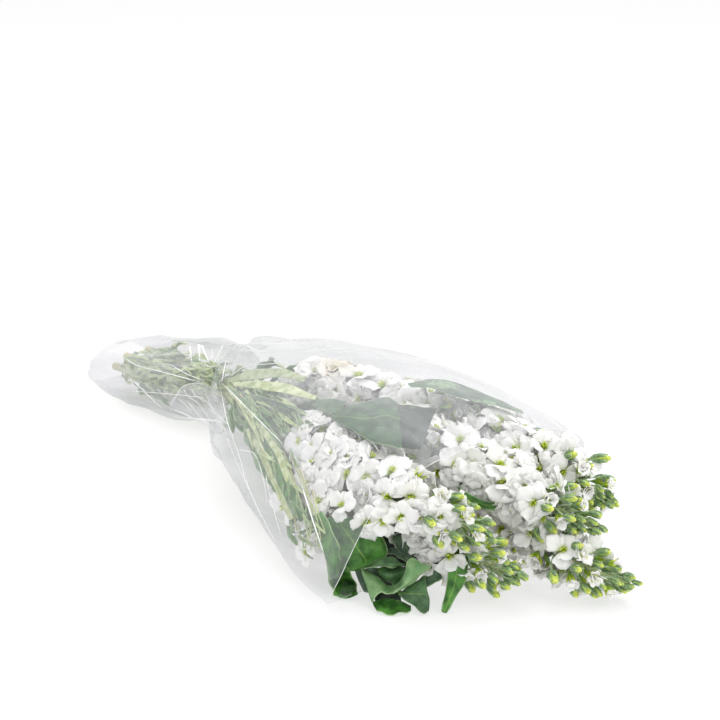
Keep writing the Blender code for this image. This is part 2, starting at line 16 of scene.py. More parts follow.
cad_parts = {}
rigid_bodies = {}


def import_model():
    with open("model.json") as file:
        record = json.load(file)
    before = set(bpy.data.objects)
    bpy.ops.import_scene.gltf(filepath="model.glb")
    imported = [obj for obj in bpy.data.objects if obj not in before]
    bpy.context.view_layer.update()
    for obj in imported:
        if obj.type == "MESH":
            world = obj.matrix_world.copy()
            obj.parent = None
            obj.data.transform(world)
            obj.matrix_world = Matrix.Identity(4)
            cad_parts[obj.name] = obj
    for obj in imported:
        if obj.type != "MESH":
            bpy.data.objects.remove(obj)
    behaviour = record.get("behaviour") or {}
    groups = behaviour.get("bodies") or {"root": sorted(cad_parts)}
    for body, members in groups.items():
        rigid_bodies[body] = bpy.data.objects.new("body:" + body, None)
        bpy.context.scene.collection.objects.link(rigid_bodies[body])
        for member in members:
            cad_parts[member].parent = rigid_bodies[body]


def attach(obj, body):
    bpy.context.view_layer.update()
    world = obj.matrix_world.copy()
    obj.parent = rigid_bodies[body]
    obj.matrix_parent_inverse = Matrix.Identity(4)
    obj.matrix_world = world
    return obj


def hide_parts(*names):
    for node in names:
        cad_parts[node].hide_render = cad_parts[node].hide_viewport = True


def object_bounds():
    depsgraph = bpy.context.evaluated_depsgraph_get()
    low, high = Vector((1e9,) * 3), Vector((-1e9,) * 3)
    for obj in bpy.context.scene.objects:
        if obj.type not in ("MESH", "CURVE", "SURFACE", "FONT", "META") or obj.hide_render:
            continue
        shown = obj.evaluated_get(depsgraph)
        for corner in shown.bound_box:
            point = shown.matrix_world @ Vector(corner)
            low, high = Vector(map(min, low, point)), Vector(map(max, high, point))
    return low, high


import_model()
cad_low, cad_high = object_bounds()

BODY = "root"
FIRST_CORNER = (-0.0300, -0.14913, 0.0)  # lowest corner of the bunch in its own measure
SHIFT = np.array(cad_low) - np.array(FIRST_CORNER)
MM = 0.001

# Camera of the photograph, in the bunch's own measure
CAMERA = np.array([1.3633, -0.9314, 0.6032])
TILT, TURN = math.radians(70.7), math.radians(46.94)
VIEW = np.array(Euler((TILT, 0.0, TURN)).to_matrix())
LENS = 85.0
PICTURE = 720
FOCUS = PICTURE * LENS / 36

# Stems, as in the frame
R_CUT = 0.0041  # stem radius at the cut end
R_WAIST = 0.0033  # at the tie
R_HEAD = 0.0026  # under the lowest floret
R_TIP = 0.0011  # under the last bud
WAIST = (0.155, 0.022, 0.036)  # middle of the tied waist
RING = 0.0087  # the stems round the middle one at the waist
SCARS = 0.031  # from one leaf scar to the next
MOUTH_BOW = 0.010  # how far the near side of the film's mouth bulges forward
GOLDEN = 137.5  # degrees from one floret to the next round a stem

# Thicknesses and gaps
LEAF_THICK = 0.00045
PETAL_THICK = 0.00022
FLAP_THICK = 0.00015
CUT_EDGE = 0.00024  # radius of the film's cut edge at the mouth
FILM_GAP = 0.0012  # what lies under the film keeps this far from it
SOFT_FROM = 0.84  # share of the way to the film where soft parts begin to give
FREE_MIDDLE = 0.012  # nothing this near the middle of the sleeve is pressed
PAST_MOUTH = 0.535  # from this x on there is no film to press on anything

# Looks
FILM_IOR = 1.49
VEIN_APART = 5.5  # millimetres from one side vein to the next
FAINT_RIB = 0.35  # strength of the midrib on small leaves

# Lamps: name, place, size and watts
LAMPS = [("overhead", (-0.5, 0.6, 2.2), 1.6, 22.0), ("side", (1.5, 0.4, 1.5), 1.0, 7.0)]

# One row per stem: angle round the waist (None is the middle one), x of the cut end, the way of
# the rachis from the foot of the head to the last bud, where the florets stop (0 to 1 of the
# head), and how many florets and buds there are
STEMS = {
    "a": (36, 0.012, [(0.385, -0.079, 0.075), (0.450, -0.090, 0.079), (0.515, -0.091, 0.074),
                      (0.553, -0.083, 0.066), (0.594, -0.068, 0.056)], 0.74, 52, 26),
    "b": (298, 0.002, [(0.455, -0.064, 0.033), (0.505, -0.070, 0.033), (0.555, -0.066, 0.031),
                       (0.607, -0.053, 0.025)], 0.66, 32, 24),
    "c": (None, 0.030, [(0.425, -0.008, 0.069), (0.490, -0.015, 0.075), (0.548, -0.013, 0.071),
                        (0.590, -0.003, 0.063), (0.632, 0.010, 0.051)], 0.74, 52, 26),
    "d": (139, 0.034, [(0.410, 0.048, 0.067), (0.475, 0.043, 0.074), (0.540, 0.040, 0.073),
                       (0.582, 0.039, 0.068), (0.620, 0.041, 0.059)], 0.74, 48, 22),
    "e": (240, 0.018, [(0.460, 0.017, 0.029), (0.540, 0.008, 0.029), (0.597, -0.005, 0.028),
                       (0.632, 0.000, 0.022), (0.664, 0.015, 0.016)], 0.72, 46, 26),
    "f": (88, 0.027, [(0.300, 0.000, 0.075), (0.345, 0.004, 0.086), (0.385, 0.012, 0.088),
                      (0.418, 0.022, 0.087), (0.452, 0.031, 0.086)], 0.80, 42, 8),
    "g": (191, 0.022, [(0.315, 0.083, 0.046), (0.365, 0.093, 0.050), (0.420, 0.098, 0.050),
                       (0.460, 0.100, 0.047), (0.497, 0.106, 0.042)], 0.80, 42, 8),
    "h": (345, -0.004, [(0.375, -0.076, 0.031), (0.415, -0.088, 0.030), (0.450, -0.096, 0.027),
                        (0.492, -0.100, 0.024)], 0.62, 12, 7),
}

# Share of the places on a head where a floret is only opening
GREEN = {"b": 0.38, "e": 0.40, "c": 0.14, "a": 0.14}
FEW = 0.12  # on the other heads

# Shapes of florets by number: full double ones, loose ones with a lime eye, and half-opened buds
DOUBLE, SINGLE, OPENING = [0, 2, 4], [1, 3, 5], [6, 7, 8]
BUDS = 8  # shapes of closed buds

# Petals of each kind: length, half width, lean and spread in degrees, cup, ruffle and twist. Two
# numbers are a span to draw from
PETALS = {
    "outer": ((0.0185, 0.0225), (0.0080, 0.0100), (14, 30), (68, 120), (-0.20, 0.12), (0.0008, 0.0020),
              (-0.40, 0.40)),
    "middle": ((0.0140, 0.0190), (0.0066, 0.0088), (10, 24), (44, 98), (-0.22, 0.16), (0.0009, 0.0018),
               (-0.50, 0.50)),
    "inner": ((0.0100, 0.0150), (0.0044, 0.0066), (4, 14), (15, 70), (-0.3, 0.4), (0.0010, 0.0020),
              (-0.5, 0.5)),
    "opening": ((0.0105, 0.0150), (0.0044, 0.0060), (14, 26), (4, 70), (0.0, 0.4), 0.0007, (-0.4, 0.4)),
    "closed": ((0.0080, 0.0105), 0.0040, 14, (-10, 25), 0.4, 0.0006, 0.0),
}

# Leaves along a stem: from and to (None is just under the head), how many, length, spans of their
# lean, and tones
LEAFY = [
    (0.002, 0.125, 34, 0.028, (0.05, 0.60), (0.85, 1.0, 1.0, 1.1)),
    (0.165, None, 26, 0.050, (0.08, 0.50), (0.05, 0.3, 0.6, 0.8, 0.9, 1.0)),
]

# Film sections: x, lean of x with height, y from, y to, bottom, top, height of the widest place on
# the near side and on the far side, squareness of the top, how much the near side is higher
FILM_ROWS = np.array([
    (-0.030, 0.10, -0.014, 0.058, 0.0, 0.038, 0.013, 0.013, 2.0, 0.0),
    (0.020, 0.0, -0.023, 0.070, 0.0, 0.056, 0.021, 0.021, 2.0, 0.0),
    (0.070, 0.0, -0.023, 0.072, 0.0, 0.064, 0.026, 0.026, 2.0, 0.0),
    (0.112, 0.0, -0.019, 0.072, 0.0, 0.073, 0.028, 0.028, 2.0, 0.0),
    (0.134, 0.0, -0.013, 0.072, 0.003, 0.077, 0.032, 0.034, 2.0, 0.0),
    (0.1498, 0.0, -0.002, 0.070, 0.010, 0.077, 0.036, 0.038, 2.0, 0.0),
    (0.1520, 0.0, 0.0083, 0.0357, 0.0223, 0.0497, 0.036, 0.036, 2.0, 0.0),
    (0.1580, 0.0, 0.0083, 0.0357, 0.0223, 0.0497, 0.036, 0.036, 2.0, 0.0),
    (0.1602, 0.0, -0.002, 0.073, 0.010, 0.080, 0.036, 0.038, 2.0, 0.0),
    (0.176, 0.0, -0.014, 0.078, 0.003, 0.083, 0.034, 0.036, 2.0, 0.0),
    (0.200, 0.0, -0.034, 0.088, 0.0, 0.096, 0.030, 0.034, 2.0, 0.0),
    (0.245, 0.0, -0.061, 0.105, 0.0, 0.107, 0.030, 0.036, 2.0, 0.0),
    (0.300, 0.05, -0.087, 0.120, 0.0, 0.119, 0.028, 0.040, 2.1, 0.02),
    (0.355, 0.10, -0.113, 0.131, 0.0, 0.122, 0.024, 0.046, 2.1, 0.05),
    (0.410, 0.16, -0.137, 0.134, 0.0, 0.121, 0.018, 0.050, 2.2, 0.09),
    (0.458, 0.24, -0.154, 0.128, 0.0, 0.115, 0.013, 0.052, 2.3, 0.12),
    (0.502, 0.31, -0.165, 0.117, 0.0, 0.106, 0.010, 0.050, 2.3, 0.13),
])

# The film's mesh: how many points round it, and x from, x to and steps of each stretch along it
FILM_AROUND = 210
FILM_STRETCHES = [(-0.030, 0.120, 56), (0.120, 0.200, 76), (0.200, 0.502, 104)]

# How far the film swells in flutes, by the distance from the tie
FLUTES = ([0.0, 0.0032, 0.005, 0.010, 0.028, 0.060, 0.110, 0.200, 0.36],
          [0.0, 0.0, 0.0022, 0.0034, 0.0050, 0.0042, 0.0026, 0.0012, 0.0])

# Taut creases of the film, drawn as slim white rods that paint their highlight: half their width in
# millimetres, less than 0 for one that narrows to its end, and how bright their painted highlight
# is, then pixels of the photograph that they run through
CREASES = [
    (0.55, 1.0, (222, 383), (250, 411), (283, 444)),
    (0.50, 1.0, (221, 390), (228, 423), (240, 457), (246, 480), (257, 504)),
    (0.35, 1.0, (266, 473), (270, 494), (283, 542)),
    (0.60, 0.5, (222, 420), (232, 450), (246, 482), (262, 516), (284, 556)),
    (0.70, 0.4, (236, 450), (247, 451), (256, 456), (264, 480), (268, 506)),
    (0.60, 0.4, (240, 456), (248, 482), (257, 506), (272, 534)),
    (0.60, 1.0, (302, 485), (313, 520), (325, 556)),
    (0.40, 1.0, (128, 376), (145, 392), (163, 409)),
    (0.50, 1.0, (122, 356), (139, 366), (171, 374), (200, 382)),
    (0.40, 1.0, (171, 365), (185, 373), (205, 381)),
    (0.50, 1.0, (226, 360), (224, 372), (222, 382)),
    (0.35, 1.0, (228, 379), (245, 367), (271, 364), (305, 362), (340, 359)),
    (0.30, 1.0, (132, 391), (171, 394), (205, 398)),
    (0.77, 0.42, (169, 408), (175, 398), (183, 387), (197, 383), (208, 386)),
    (0.77, 0.42, (169, 408), (190, 417), (208, 432), (222, 435)),
    (0.59, 0.42, (187, 400), (203, 420), (222, 432)),
    (0.59, 0.42, (207, 407), (218, 416), (229, 425)),
    (0.51, 0.42, (205, 391), (212, 407), (224, 420)),
    (0.51, 0.42, (172, 410), (176, 422), (192, 425)),
    (0.35, 1.0, (240, 350), (262, 352), (285, 350)),
    (0.30, 1.0, (300, 352), (345, 349), (385, 352)),
    (-1.30, 0.9, (190, 347), (192, 363)),
    (-1.90, 0.8, (199, 345), (200, 361)),
    (-1.50, 0.9, (202, 346), (206, 356), (211, 366)),
    (-1.20, 0.8, (223, 346), (217, 357), (212, 366)),
    (-0.70, 1.0, (213, 350), (211, 359)),
    (0.50, 0.8, (204, 364), (210, 367), (216, 366)),
    (-0.80, 0.6, (231, 350), (222, 358), (214, 366)),
    (0.59, 0.42, (183, 387), (188, 396), (199, 404), (212, 422)),
    (0.59, 0.42, (190, 386), (196, 396), (207, 402), (219, 418)),
    (0.51, 0.42, (176, 397), (186, 405), (192, 414)),
    (0.51, 0.42, (205, 408), (198, 414), (208, 424), (215, 432)),
]

# Leaves under the film: stem, tone, strength of the midrib, and rows of how far inside the film
# the margins are and how much further out the midrib is, both in millimetres, with the pixels of
# margin, midrib, margin. A tone below 0 paints shade on a leaf that lies in shadow, darker the
# lower it goes.
LEAVES_UNDER = [
    ("a", 0.4, 0.45, [
        (6, 0, (329, 414), (330, 416), (332, 418)), (6, 1, (345, 407), (348, 417), (352, 430)),
        (6, 2, (363, 403), (367, 419), (372, 441)), (6, 2, (381, 398), (385, 415), (391, 447)),
        (6, 2, (392, 399), (395, 418), (397, 448)), (7, 1, (400, 404), (401, 420), (402, 448))]),
    # Painted shade: facets that face down, away from the light, so they are painted dark grey.
    ("a", -0.62, 0.0, [
        ((3, 7, 16), 0, (398, 404), (399, 424), (401, 448)),
        ((2, 8, 20), 0, (412, 405), (411, 425), (411, 449)),
        ((4, 10, 22), 0, (426, 408), (421, 426), (417, 450)),
        ((8, 12, 20), 0, (438, 407), (430, 424), (421, 449))]),
    ("a", 0.3, 0.2, [
        (7, 0, (311, 404), (313, 406), (316, 408)), (7, 1, (325, 399), (327, 405), (330, 412)),
        (7, 1, (346, 400), (344, 406), (342, 413))]),
    ("g", 0.42, 0.3, [
        (4, 0, (408, 383), (409, 385), (411, 387)), (4, 1, (428, 379), (430, 384), (433, 389)),
        (4, 1, (451, 381), (453, 388), (456, 396)), (4, 1, (474, 389), (475, 395), (478, 402)),
        (4, 0, (499, 399), (501, 403), (503, 407)), (4, 0, (522, 410), (523, 412), (524, 414))]),
    ("d", 0.8, 0.2, [
        (6, 0, (228, 378), (229, 380), (230, 382)), (6, 1, (252, 370), (253, 374), (254, 379)),
        (6, 1, (281, 369), (282, 373), (283, 378)), (6, 0, (306, 376), (305, 379), (304, 382))]),
    ("f", 0.95, 0.2, [
        (5, 0, (232, 382), (233, 384), (234, 386)), (5, 1, (258, 381), (258, 385), (258, 389)),
        (5, 1, (287, 384), (287, 389), (286, 394)), (5, 0, (317, 396), (316, 398), (315, 400))]),
    ("f", 0.55, 0.2, [
        (7, 0, (238, 391), (238, 393), (238, 395)), (7, 1, (260, 396), (259, 400), (258, 404)),
        (7, 1, (281, 402), (280, 407), (279, 412)), (7, 0, (303, 413), (302, 415), (301, 417))]),
    ("a", 0.25, 0.2, [
        (9, 0, (243, 402), (244, 404), (245, 406)), (9, 1, (260, 406), (259, 412), (258, 418)),
        (9, 1, (279, 417), (277, 423), (275, 429)), (9, 0, (292, 430), (290, 433), (288, 436))]),
    ("a", 0.75, 0.2, [
        (7, 0, (246, 414), (247, 415), (248, 416)), (7, 1, (258, 421), (257, 424), (256, 428)),
        (7, 1, (272, 433), (270, 437), (268, 441)), (7, 0, (283, 446), (281, 448), (279, 450))]),
    ("h", 1.0, 0.1, [
        (4, 0, (227, 390), (228, 390), (230, 391)), (4, 1, (245, 411), (248, 409), (250, 407)),
        (4, 1, (262, 434), (265, 432), (268, 430)), (4, 1, (276, 457), (279, 455), (282, 453)),
        (4, 0, (288, 486), (290, 485), (292, 484))]),
    ("h", 0.0, 0.0, [
        (3, 0, (229, 388), (230, 388), (231, 387)), (3, 0, (247, 407), (249, 406), (251, 404)),
        (3, 0, (264, 427), (266, 426), (268, 424)), (3, 0, (280, 446), (281, 445), (282, 443))]),
    ("h", 0.85, 0.2, [
        (6, 0, (246, 430), (247, 429), (249, 428)), (6, 1, (259, 456), (261, 454), (264, 452)),
        (6, 1, (274, 488), (277, 487), (279, 485)), (6, 0, (290, 520), (292, 519), (294, 518))]),
    ("h", 0.1, 0.2, [
        (6, 0, (258, 440), (261, 438), (264, 436)), (6, 1, (268, 466), (272, 463), (276, 460)),
        (6, 1, (282, 494), (288, 490), (294, 486)), (6, 0, (300, 522), (303, 520), (306, 518))]),
    ("h", 0.1, 0.0, [
        (8, 0, (312, 518), (316, 515), (322, 511)), (8, 0, (317, 536), (324, 533), (332, 529)),
        (8, 0, (324, 556), (331, 553), (339, 550)), (8, 0, (331, 580), (336, 578), (342, 576))]),
    ("b", 0.05, 0.2, [
        (8, 0, (255, 428), (258, 426), (261, 424)), (8, 1, (266, 450), (270, 447), (274, 444)),
        (8, 1, (276, 476), (280, 473), (284, 470)), (8, 0, (288, 498), (291, 496), (294, 494))]),
]

# Leaves in the open, at the mouth of the film: the same, with the distance from the camera. Tones
# below 0 are painted shade here too; at -1 a piece is a near-black sheet that paints a shadow.
LEAVES_OPEN = [
    ("h", 0.05, 0.38, [
        (1306, 0, (330, 517), (335, 517), (341, 514)), (1304, 3, (326, 524), (342, 526), (362, 521)),
        (1301, 5, (330, 541), (350, 537), (376, 529)), (1298, 6, (337, 554), (358, 549), (387, 545)),
        (1300, 3, (345, 565), (366, 561), (386, 556)), (1303, 0, (351, 570), (360, 570), (371, 563))]),
    ("h", 0.03, 0.15, [
        (1309, 0, (322, 540), (331, 546), (341, 552)), (1307, 1, (326, 560), (338, 566), (351, 572)),
        (1303, 3, (329, 580), (343, 584), (356, 586)), (1299, 1, (334, 595), (346, 598), (358, 594))]),
    # Leaf in the dark gap, painted near black as the shade it lies in.
    ("b", -1.0, 0.0, [
        (1316, 0, (374, 534), (377, 548), (380, 562)), (1316, 0, (393, 530), (396, 548), (398, 566)),
        (1316, 0, (412, 534), (413, 550), (414, 566)), (1316, 0, (428, 545), (428, 556), (428, 568))]),
    ("h", -0.35, 0.1, [
        (1310, 0, (392, 538), (397, 535), (403, 532)), (1308, 2, (398, 550), (405, 546), (412, 541)),
        (1307, 0, (408, 560), (412, 557), (416, 553))]),
    ("h", -0.3, 0.0, [
        (1309, 0, (384, 549), (385, 551), (386, 553)), (1308, 1, (396, 549), (396, 552), (396, 556)),
        (1308, 0, (408, 558), (407, 560), (406, 562))]),
    ("h", -0.9, 0.0, [
        (1306, 0, (430, 561), (431, 565), (432, 569)), (1306, 0, (439, 559), (440, 564), (441, 570)),
        (1306, 0, (449, 558), (449, 565), (449, 572))]),
    ("h", 0.3, 0.0, [
        ((1296, 1294, 1292), 0, (361, 567), (362, 568), (364, 569)),
        ((1294, 1289, 1287), 0, (373, 562), (375, 565), (377, 567)),
        ((1294, 1285, 1284), 0, (383, 558), (385, 562), (387, 567)),
        ((1296, 1286, 1286), 0, (394, 558), (395, 563), (396, 567)),
        ((1298, 1295, 1294), 0, (404, 564), (404, 565), (403, 566))]),
    ("h", 0.28, 0.0, [
        ((1299, 1296, 1299), 0, (376, 567), (378, 571), (380, 575)),
        ((1300, 1290, 1299), 0, (386, 566), (388, 575), (389, 583)),
        ((1300, 1289, 1299), 0, (397, 566), (397, 575), (396, 584)),
        ((1299, 1294, 1297), 0, (405, 566), (406, 571), (404, 577))]),
    ("h", -0.25, 0.0, [
        (1303, 0, (354, 566), (357, 577), (364, 592)), (1303, 0, (367, 565), (371, 578), (377, 594)),
        (1303, 0, (382, 570), (384, 580), (386, 590))]),
    # Near-black sheet that paints the shadow crescent under the rolled leaf.
    ("h", -1.0, 0.0, [
        ((1297, 1298, 1299), 0, (374, 573), (376, 580), (378, 588)),
        ((1302, 1302, 1302), 0, (386, 578), (388, 584), (389, 590)),
        ((1302, 1302, 1302), 0, (398, 578), (398, 584), (397, 590))]),
    ("h", 2.0, 0.0, [
        ((1296, 1290, 1283), 0, (361, 568), (366, 585), (372, 603)),
        ((1298, 1290, 1281), 0, (371, 572), (375, 584), (377, 596)),
        ((1298, 1290, 1280), 0, (379, 578), (382, 585), (382, 591)),
        ((1297, 1288, 1280), 0, (388, 585), (389, 590), (388, 594)),
        ((1294, 1286, 1280), 0, (399, 582), (398, 588), (395, 594)),
        ((1292, 1284, 1279), 0, (405, 570), (404, 579), (402, 587)),
        ((1290, 1284, 1280), 0, (408, 561), (408, 567), (407, 573))]),
    ("h", 2.0, 0.0, [
        ((1284, 1282, 1283), 0, (409, 560), (413, 558), (418, 560)),
        ((1279, 1277, 1284), 0, (406, 568), (415, 565), (424, 564)),
        ((1278, 1275, 1285), 0, (404, 577), (414, 573), (430, 569)),
        ((1278, 1276, 1283), 0, (401, 586), (408, 583), (418, 578)),
        ((1279, 1279, 1281), 0, (393, 594), (399, 591), (406, 587))]),
    ("h", 0.3, 0.2, [
        ((1284, 1283, 1283), 0, (398, 592), (398, 593), (399, 595)),
        ((1286, 1281, 1281), 0, (408, 586), (409, 594), (409, 603)),
        ((1288, 1279, 1278), 0, (418, 580), (419, 594), (417, 609)),
        ((1288, 1279, 1276), 0, (425, 576), (426, 595), (424, 614)),
        ((1284, 1280, 1277), 0, (426, 590), (429, 600), (429, 611))]),
    # Near-black sheet that paints the shadow under the rolled rim of the leaf.
    ("h", -1.0, 0.0, [
        ((1292, 1291, 1290), 0, (374, 595), (375, 600), (376, 604)),
        ((1293, 1292, 1291), 0, (386, 591), (387, 598), (388, 604)),
        ((1292, 1291, 1290), 0, (401, 590), (401, 598), (402, 604))]),
    ("h", 0.04, 0.0, [
        ((1288, 1284, 1279), 0, (373, 601), (374, 606), (377, 611)),
        ((1291, 1286, 1276), 0, (382, 599), (383, 606), (385, 614)),
        ((1291, 1286, 1275), 0, (393, 599), (393, 607), (394, 615)),
        ((1290, 1285, 1276), 0, (403, 602), (403, 608), (404, 613)),
        ((1287, 1284, 1279), 0, (411, 605), (411, 608), (411, 611))]),
    ("h", 0.42, 0.0, [
        (1304, 0, (425, 566), (425, 576), (426, 588)), (1302, 1, (436, 566), (437, 573), (437, 582)),
        (1300, 0, (448, 572), (448, 573), (447, 575))]),
    ("b", 0.05, 0.25, [
        (1298, 0, (446, 550), (457, 549), (470, 552)), (1290, 3, (447, 566), (457, 567), (468, 568)),
        (1286, 3, (447, 584), (454, 586), (462, 588)), (1281, 1, (443, 601), (448, 602), (453, 603)),
        (1279, 0, (441, 611), (444, 613), (447, 613))]),
    ("b", 0.05, 0.2, [
        (1318, 0, (456, 486), (458, 488), (460, 491)), (1314, 1, (466, 492), (467, 497), (468, 502)),
        (1312, 1, (482, 500), (482, 504), (482, 509)), (1312, 1, (496, 503), (496, 506), (496, 510)),
        (1312, 0, (507, 506), (507, 508), (507, 510))]),
]

# The lobe of gathered film under the tie: how far it bulges out, and rows of pixels it lies behind
PATCHES = [
    (0.0050, [[(184, 387), (171, 407), (174, 421)], [(196, 384), (190, 404), (192, 425)],
              [(208, 385), (208, 408), (210, 434)], [(218, 390), (221, 411), (224, 436)],
              [(225, 398), (229, 418), (233, 440)]]),
]

# Flower stalks that show through the film: how far inside it, radius, pixels
STALKS = [
    (9, 0.7, (284, 452), (294, 480), (303, 510), (309, 542)),
    (8, 0.7, (291, 455), (303, 485), (316, 515), (321, 540)),
    (10, 0.6, (280, 470), (291, 500), (297, 530)),
    (9, 0.6, (300, 470), (309, 496), (312, 525), (305, 548)),
    (8, 0.6, (312, 490), (318, 512), (325, 532)),
    (9, 0.6, (288, 490), (300, 508), (308, 520)),
    (5, 1.3, (236, 398), (254, 430), (268, 462), (280, 500)),
    (6, 1.1, (240, 394), (262, 422), (282, 456), (294, 486)),
]

# Bands of small leaves that lie along the film: stem, how many, how far inside, reach to each side of
# the band in pixels, tones, and the pixels of its middle
SPRIGS = [
    ("h", 64, (3, 12), 11, (0.0, 0.1, 0.35, 0.7, 0.95, 1.0),
     [(238, 396), (257, 426), (275, 460), (293, 500), (310, 540)]),
    ("a", 30, (5, 14), 10, (0.3, 0.5, 0.6, 0.9), [(242, 386), (272, 402), (300, 430)]),
    ("h", 52, (2, 12), 12, (0.75, 0.95, 1.05), [(126, 366), (160, 368), (208, 381)]),
]

# Single florets beside a head: stem, how far inside the film or, over 100, how far from the camera,
# pixel, size and shape
LOOSE = [
    ('h', 12, 294, 532, 0.75, 7), ('h', 12, 301, 557, 0.8, 1), ('h', 14, 284, 512, 0.62, 6),
    ('h', 10, 312, 540, 0.55, 8), ('a', 15, 296, 436, 0.95, 0), ('a', 15, 299, 460, 0.95, 1),
    ('a', 14, 305, 484, 0.95, 2), ('a', 14, 317, 503, 0.95, 3), ('a', 22, 312, 465, 0.95, 4),
    ('a', 18, 332, 452, 0.95, 2), ('a', 20, 325, 490, 0.95, 0), ('a', 20, 341, 507, 0.85, 5),
    ('a', 1292, 367, 520, 0.85, 5), ('a', 1284, 383, 519, 0.8, 1), ('a', 1277, 401, 515, 0.8, 5),
    ('b', 1304, 428, 551, 0.8, 7), ('b', 1300, 437, 545, 0.85, 1),
]

rng = random.Random(23)


# Geometry helpers

def unit(v):
    v = np.asarray(v, float)
    return v / max(np.linalg.norm(v), 1e-12)


def units(v):
    """Each row made one long."""
    return v / np.maximum(np.linalg.norm(v, axis=-1, keepdims=True), 1e-12)


def length_along(path):
    return np.r_[0, np.cumsum(np.linalg.norm(np.diff(path, axis=0), axis=1))]


def sample(path, way, at):
    """Values of a path at lengths along it."""
    return np.stack([np.interp(at, way, path[:, k]) for k in range(path.shape[1])], axis=-1)


def spline(a, b, c, d, t):
    """Smooth line from b to c, with a before them and d after."""
    return 0.5 * (2 * b + (c - a) * t + (2 * a - 5 * b + 4 * c - d) * t**2 + (3 * b - a - 3 * c + d) * t**3)


def curve(points, step):
    """Evenly spaced points on the smooth line through the points given."""
    p = np.array(points, float)
    p = np.vstack([2 * p[0] - p[1], p, 2 * p[-1] - p[-2]])
    t = np.linspace(0, 1, 24, endpoint=False)[:, None]
    fine = [spline(*p[i - 1:i + 3], t) for i in range(1, len(p) - 2)]
    fine = np.vstack(fine + [p[-2][None]])
    way = length_along(fine)
    n = max(2, int(round(way[-1] / step)) + 1)
    return sample(fine, way, np.linspace(0, way[-1], n))


def through(points, count):
    """Points on the smooth line through those given, at even steps from one to the next."""
    p = np.array(points, float)
    p = np.concatenate([2 * p[:1] - p[1:2], p, 2 * p[-1:] - p[-2:-1]])
    at = np.linspace(0, len(p) - 3, count)
    k = np.clip(at.astype(int), 0, len(p) - 4)
    t = (at - k).reshape((-1,) + (1,) * (p.ndim - 1))
    return spline(p[k], p[k + 1], p[k + 2], p[k + 3], t)


def smooth_table(at, xs, table):
    """Columns of a table read at places between its rows, without overshoot."""
    at = np.asarray(at, float)
    slope = np.diff(table, axis=0) / np.diff(xs)[:, None]
    tangent = np.zeros_like(table)
    a, b = slope[:-1], slope[1:]
    both = a * b > 0
    tangent[1:-1] = np.where(both, 2 * a * b / np.where(both, a + b, 1.0), 0.0)
    tangent[0], tangent[-1] = slope[0], slope[-1]
    k = np.clip(np.searchsorted(xs, at, side="right") - 1, 0, len(xs) - 2)
    step = xs[k + 1] - xs[k]
    t = ((at - xs[k]) / step)[..., None]
    step = step[..., None]
    return ((2 * t**3 - 3 * t**2 + 1) * table[k] + (t**3 - 2 * t**2 + t) * step * tangent[k]
            + (3 * t**2 - 2 * t**3) * table[k + 1] + (t**3 - t**2) * step * tangent[k + 1])


def give(mesh, key, values):
    """A named value at each vertex: a number, a whole number or a vector."""
    values = np.asarray(values)
    if values.ndim == 2:
        mesh.attributes.new(key, "FLOAT_VECTOR", "POINT").data.foreach_set(
            "vector", values.astype(np.float32).ravel())
    elif values.dtype.kind == "i":
        mesh.attributes.new(key, "INT", "POINT").data.foreach_set("value", values.astype(np.int32))
    else:
        mesh.attributes.new(key, "FLOAT", "POINT").data.foreach_set("value", values.astype(np.float32))


def object_of(name, data, group=None):
    """An object with a mesh, a lamp or a camera, in the scene or in a group."""
    obj = bpy.data.objects.new(name, data)
    (group or bpy.context.scene.collection).objects.link(obj)
    return obj


class Patchwork:
    """Vertices, faces and named vertex values of a piece, gathered part by part."""

    def __init__(self):
        self.verts, self.faces, self.values, self.count = [], [], {}, 0

    def add(self, verts, faces, **values):
        self.verts.append(np.asarray(verts, float))
        self.faces += [tuple(i + self.count for i in f) for f in faces]
        for key, value in values.items():
            self.values.setdefault(key, []).append(np.broadcast_to(value, len(verts)).astype(float))
        self.count += len(verts)

    def build(self, name, finish=None, group=None):
        mesh = bpy.data.meshes.new(name)
        mesh.from_pydata(np.vstack(self.verts).tolist(), [], self.faces)
        for key, parts in self.values.items():
            give(mesh, key, np.concatenate(parts))
        mesh.polygons.foreach_set("use_smooth", [True] * len(mesh.polygons))
        mesh.update()
        if finish:
            mesh.materials.append(finish)
        return object_of(name, mesh, group)


def shell(grid, thick):
    """Closed thin skin on a grid of points, and which of its vertices lie on the under side."""
    n, m = grid.shape[:2]
    normal = units(np.cross(np.gradient(grid, axis=0), np.gradient(grid, axis=1)))
    verts = np.concatenate([(grid + normal * thick / 2).reshape(-1, 3),
                            (grid - normal * thick / 2).reshape(-1, 3)])
    at = np.arange(n * m).reshape(n, m)
    a, b, c, d = at[:-1, :-1].ravel(), at[1:, :-1].ravel(), at[1:, 1:].ravel(), at[:-1, 1:].ravel()
    s = n * m
    faces = list(zip(a, b, c, d)) + list(zip(a + s, d + s, c + s, b + s))
    loop = np.r_[at[:-1, 0], at[-1, :-1], at[:0:-1, -1], at[0, :0:-1]]
    after = np.roll(loop, -1)
    faces += list(zip(after, loop, loop + s, after + s))
    faces = [tuple(int(i) for i in f) for f in faces]
    return verts, faces, np.repeat([0.0, 1.0], s)


def surface_of(*objs):
    """Some pieces as one surface to cast rays on."""
    verts, faces = [], []
    for obj in objs:
        first = len(verts)
        verts += [v.co.copy() for v in obj.data.vertices]
        faces += [[first + i for i in f.vertices] for f in obj.data.polygons]
    return BVHTree.FromPolygons(verts, faces)


def places_of(obj):
    """Where a piece's vertices are."""
    co = np.zeros(len(obj.data.vertices) * 3)
    obj.data.vertices.foreach_get("co", co)
    return co.reshape(-1, 3)


# Material helpers

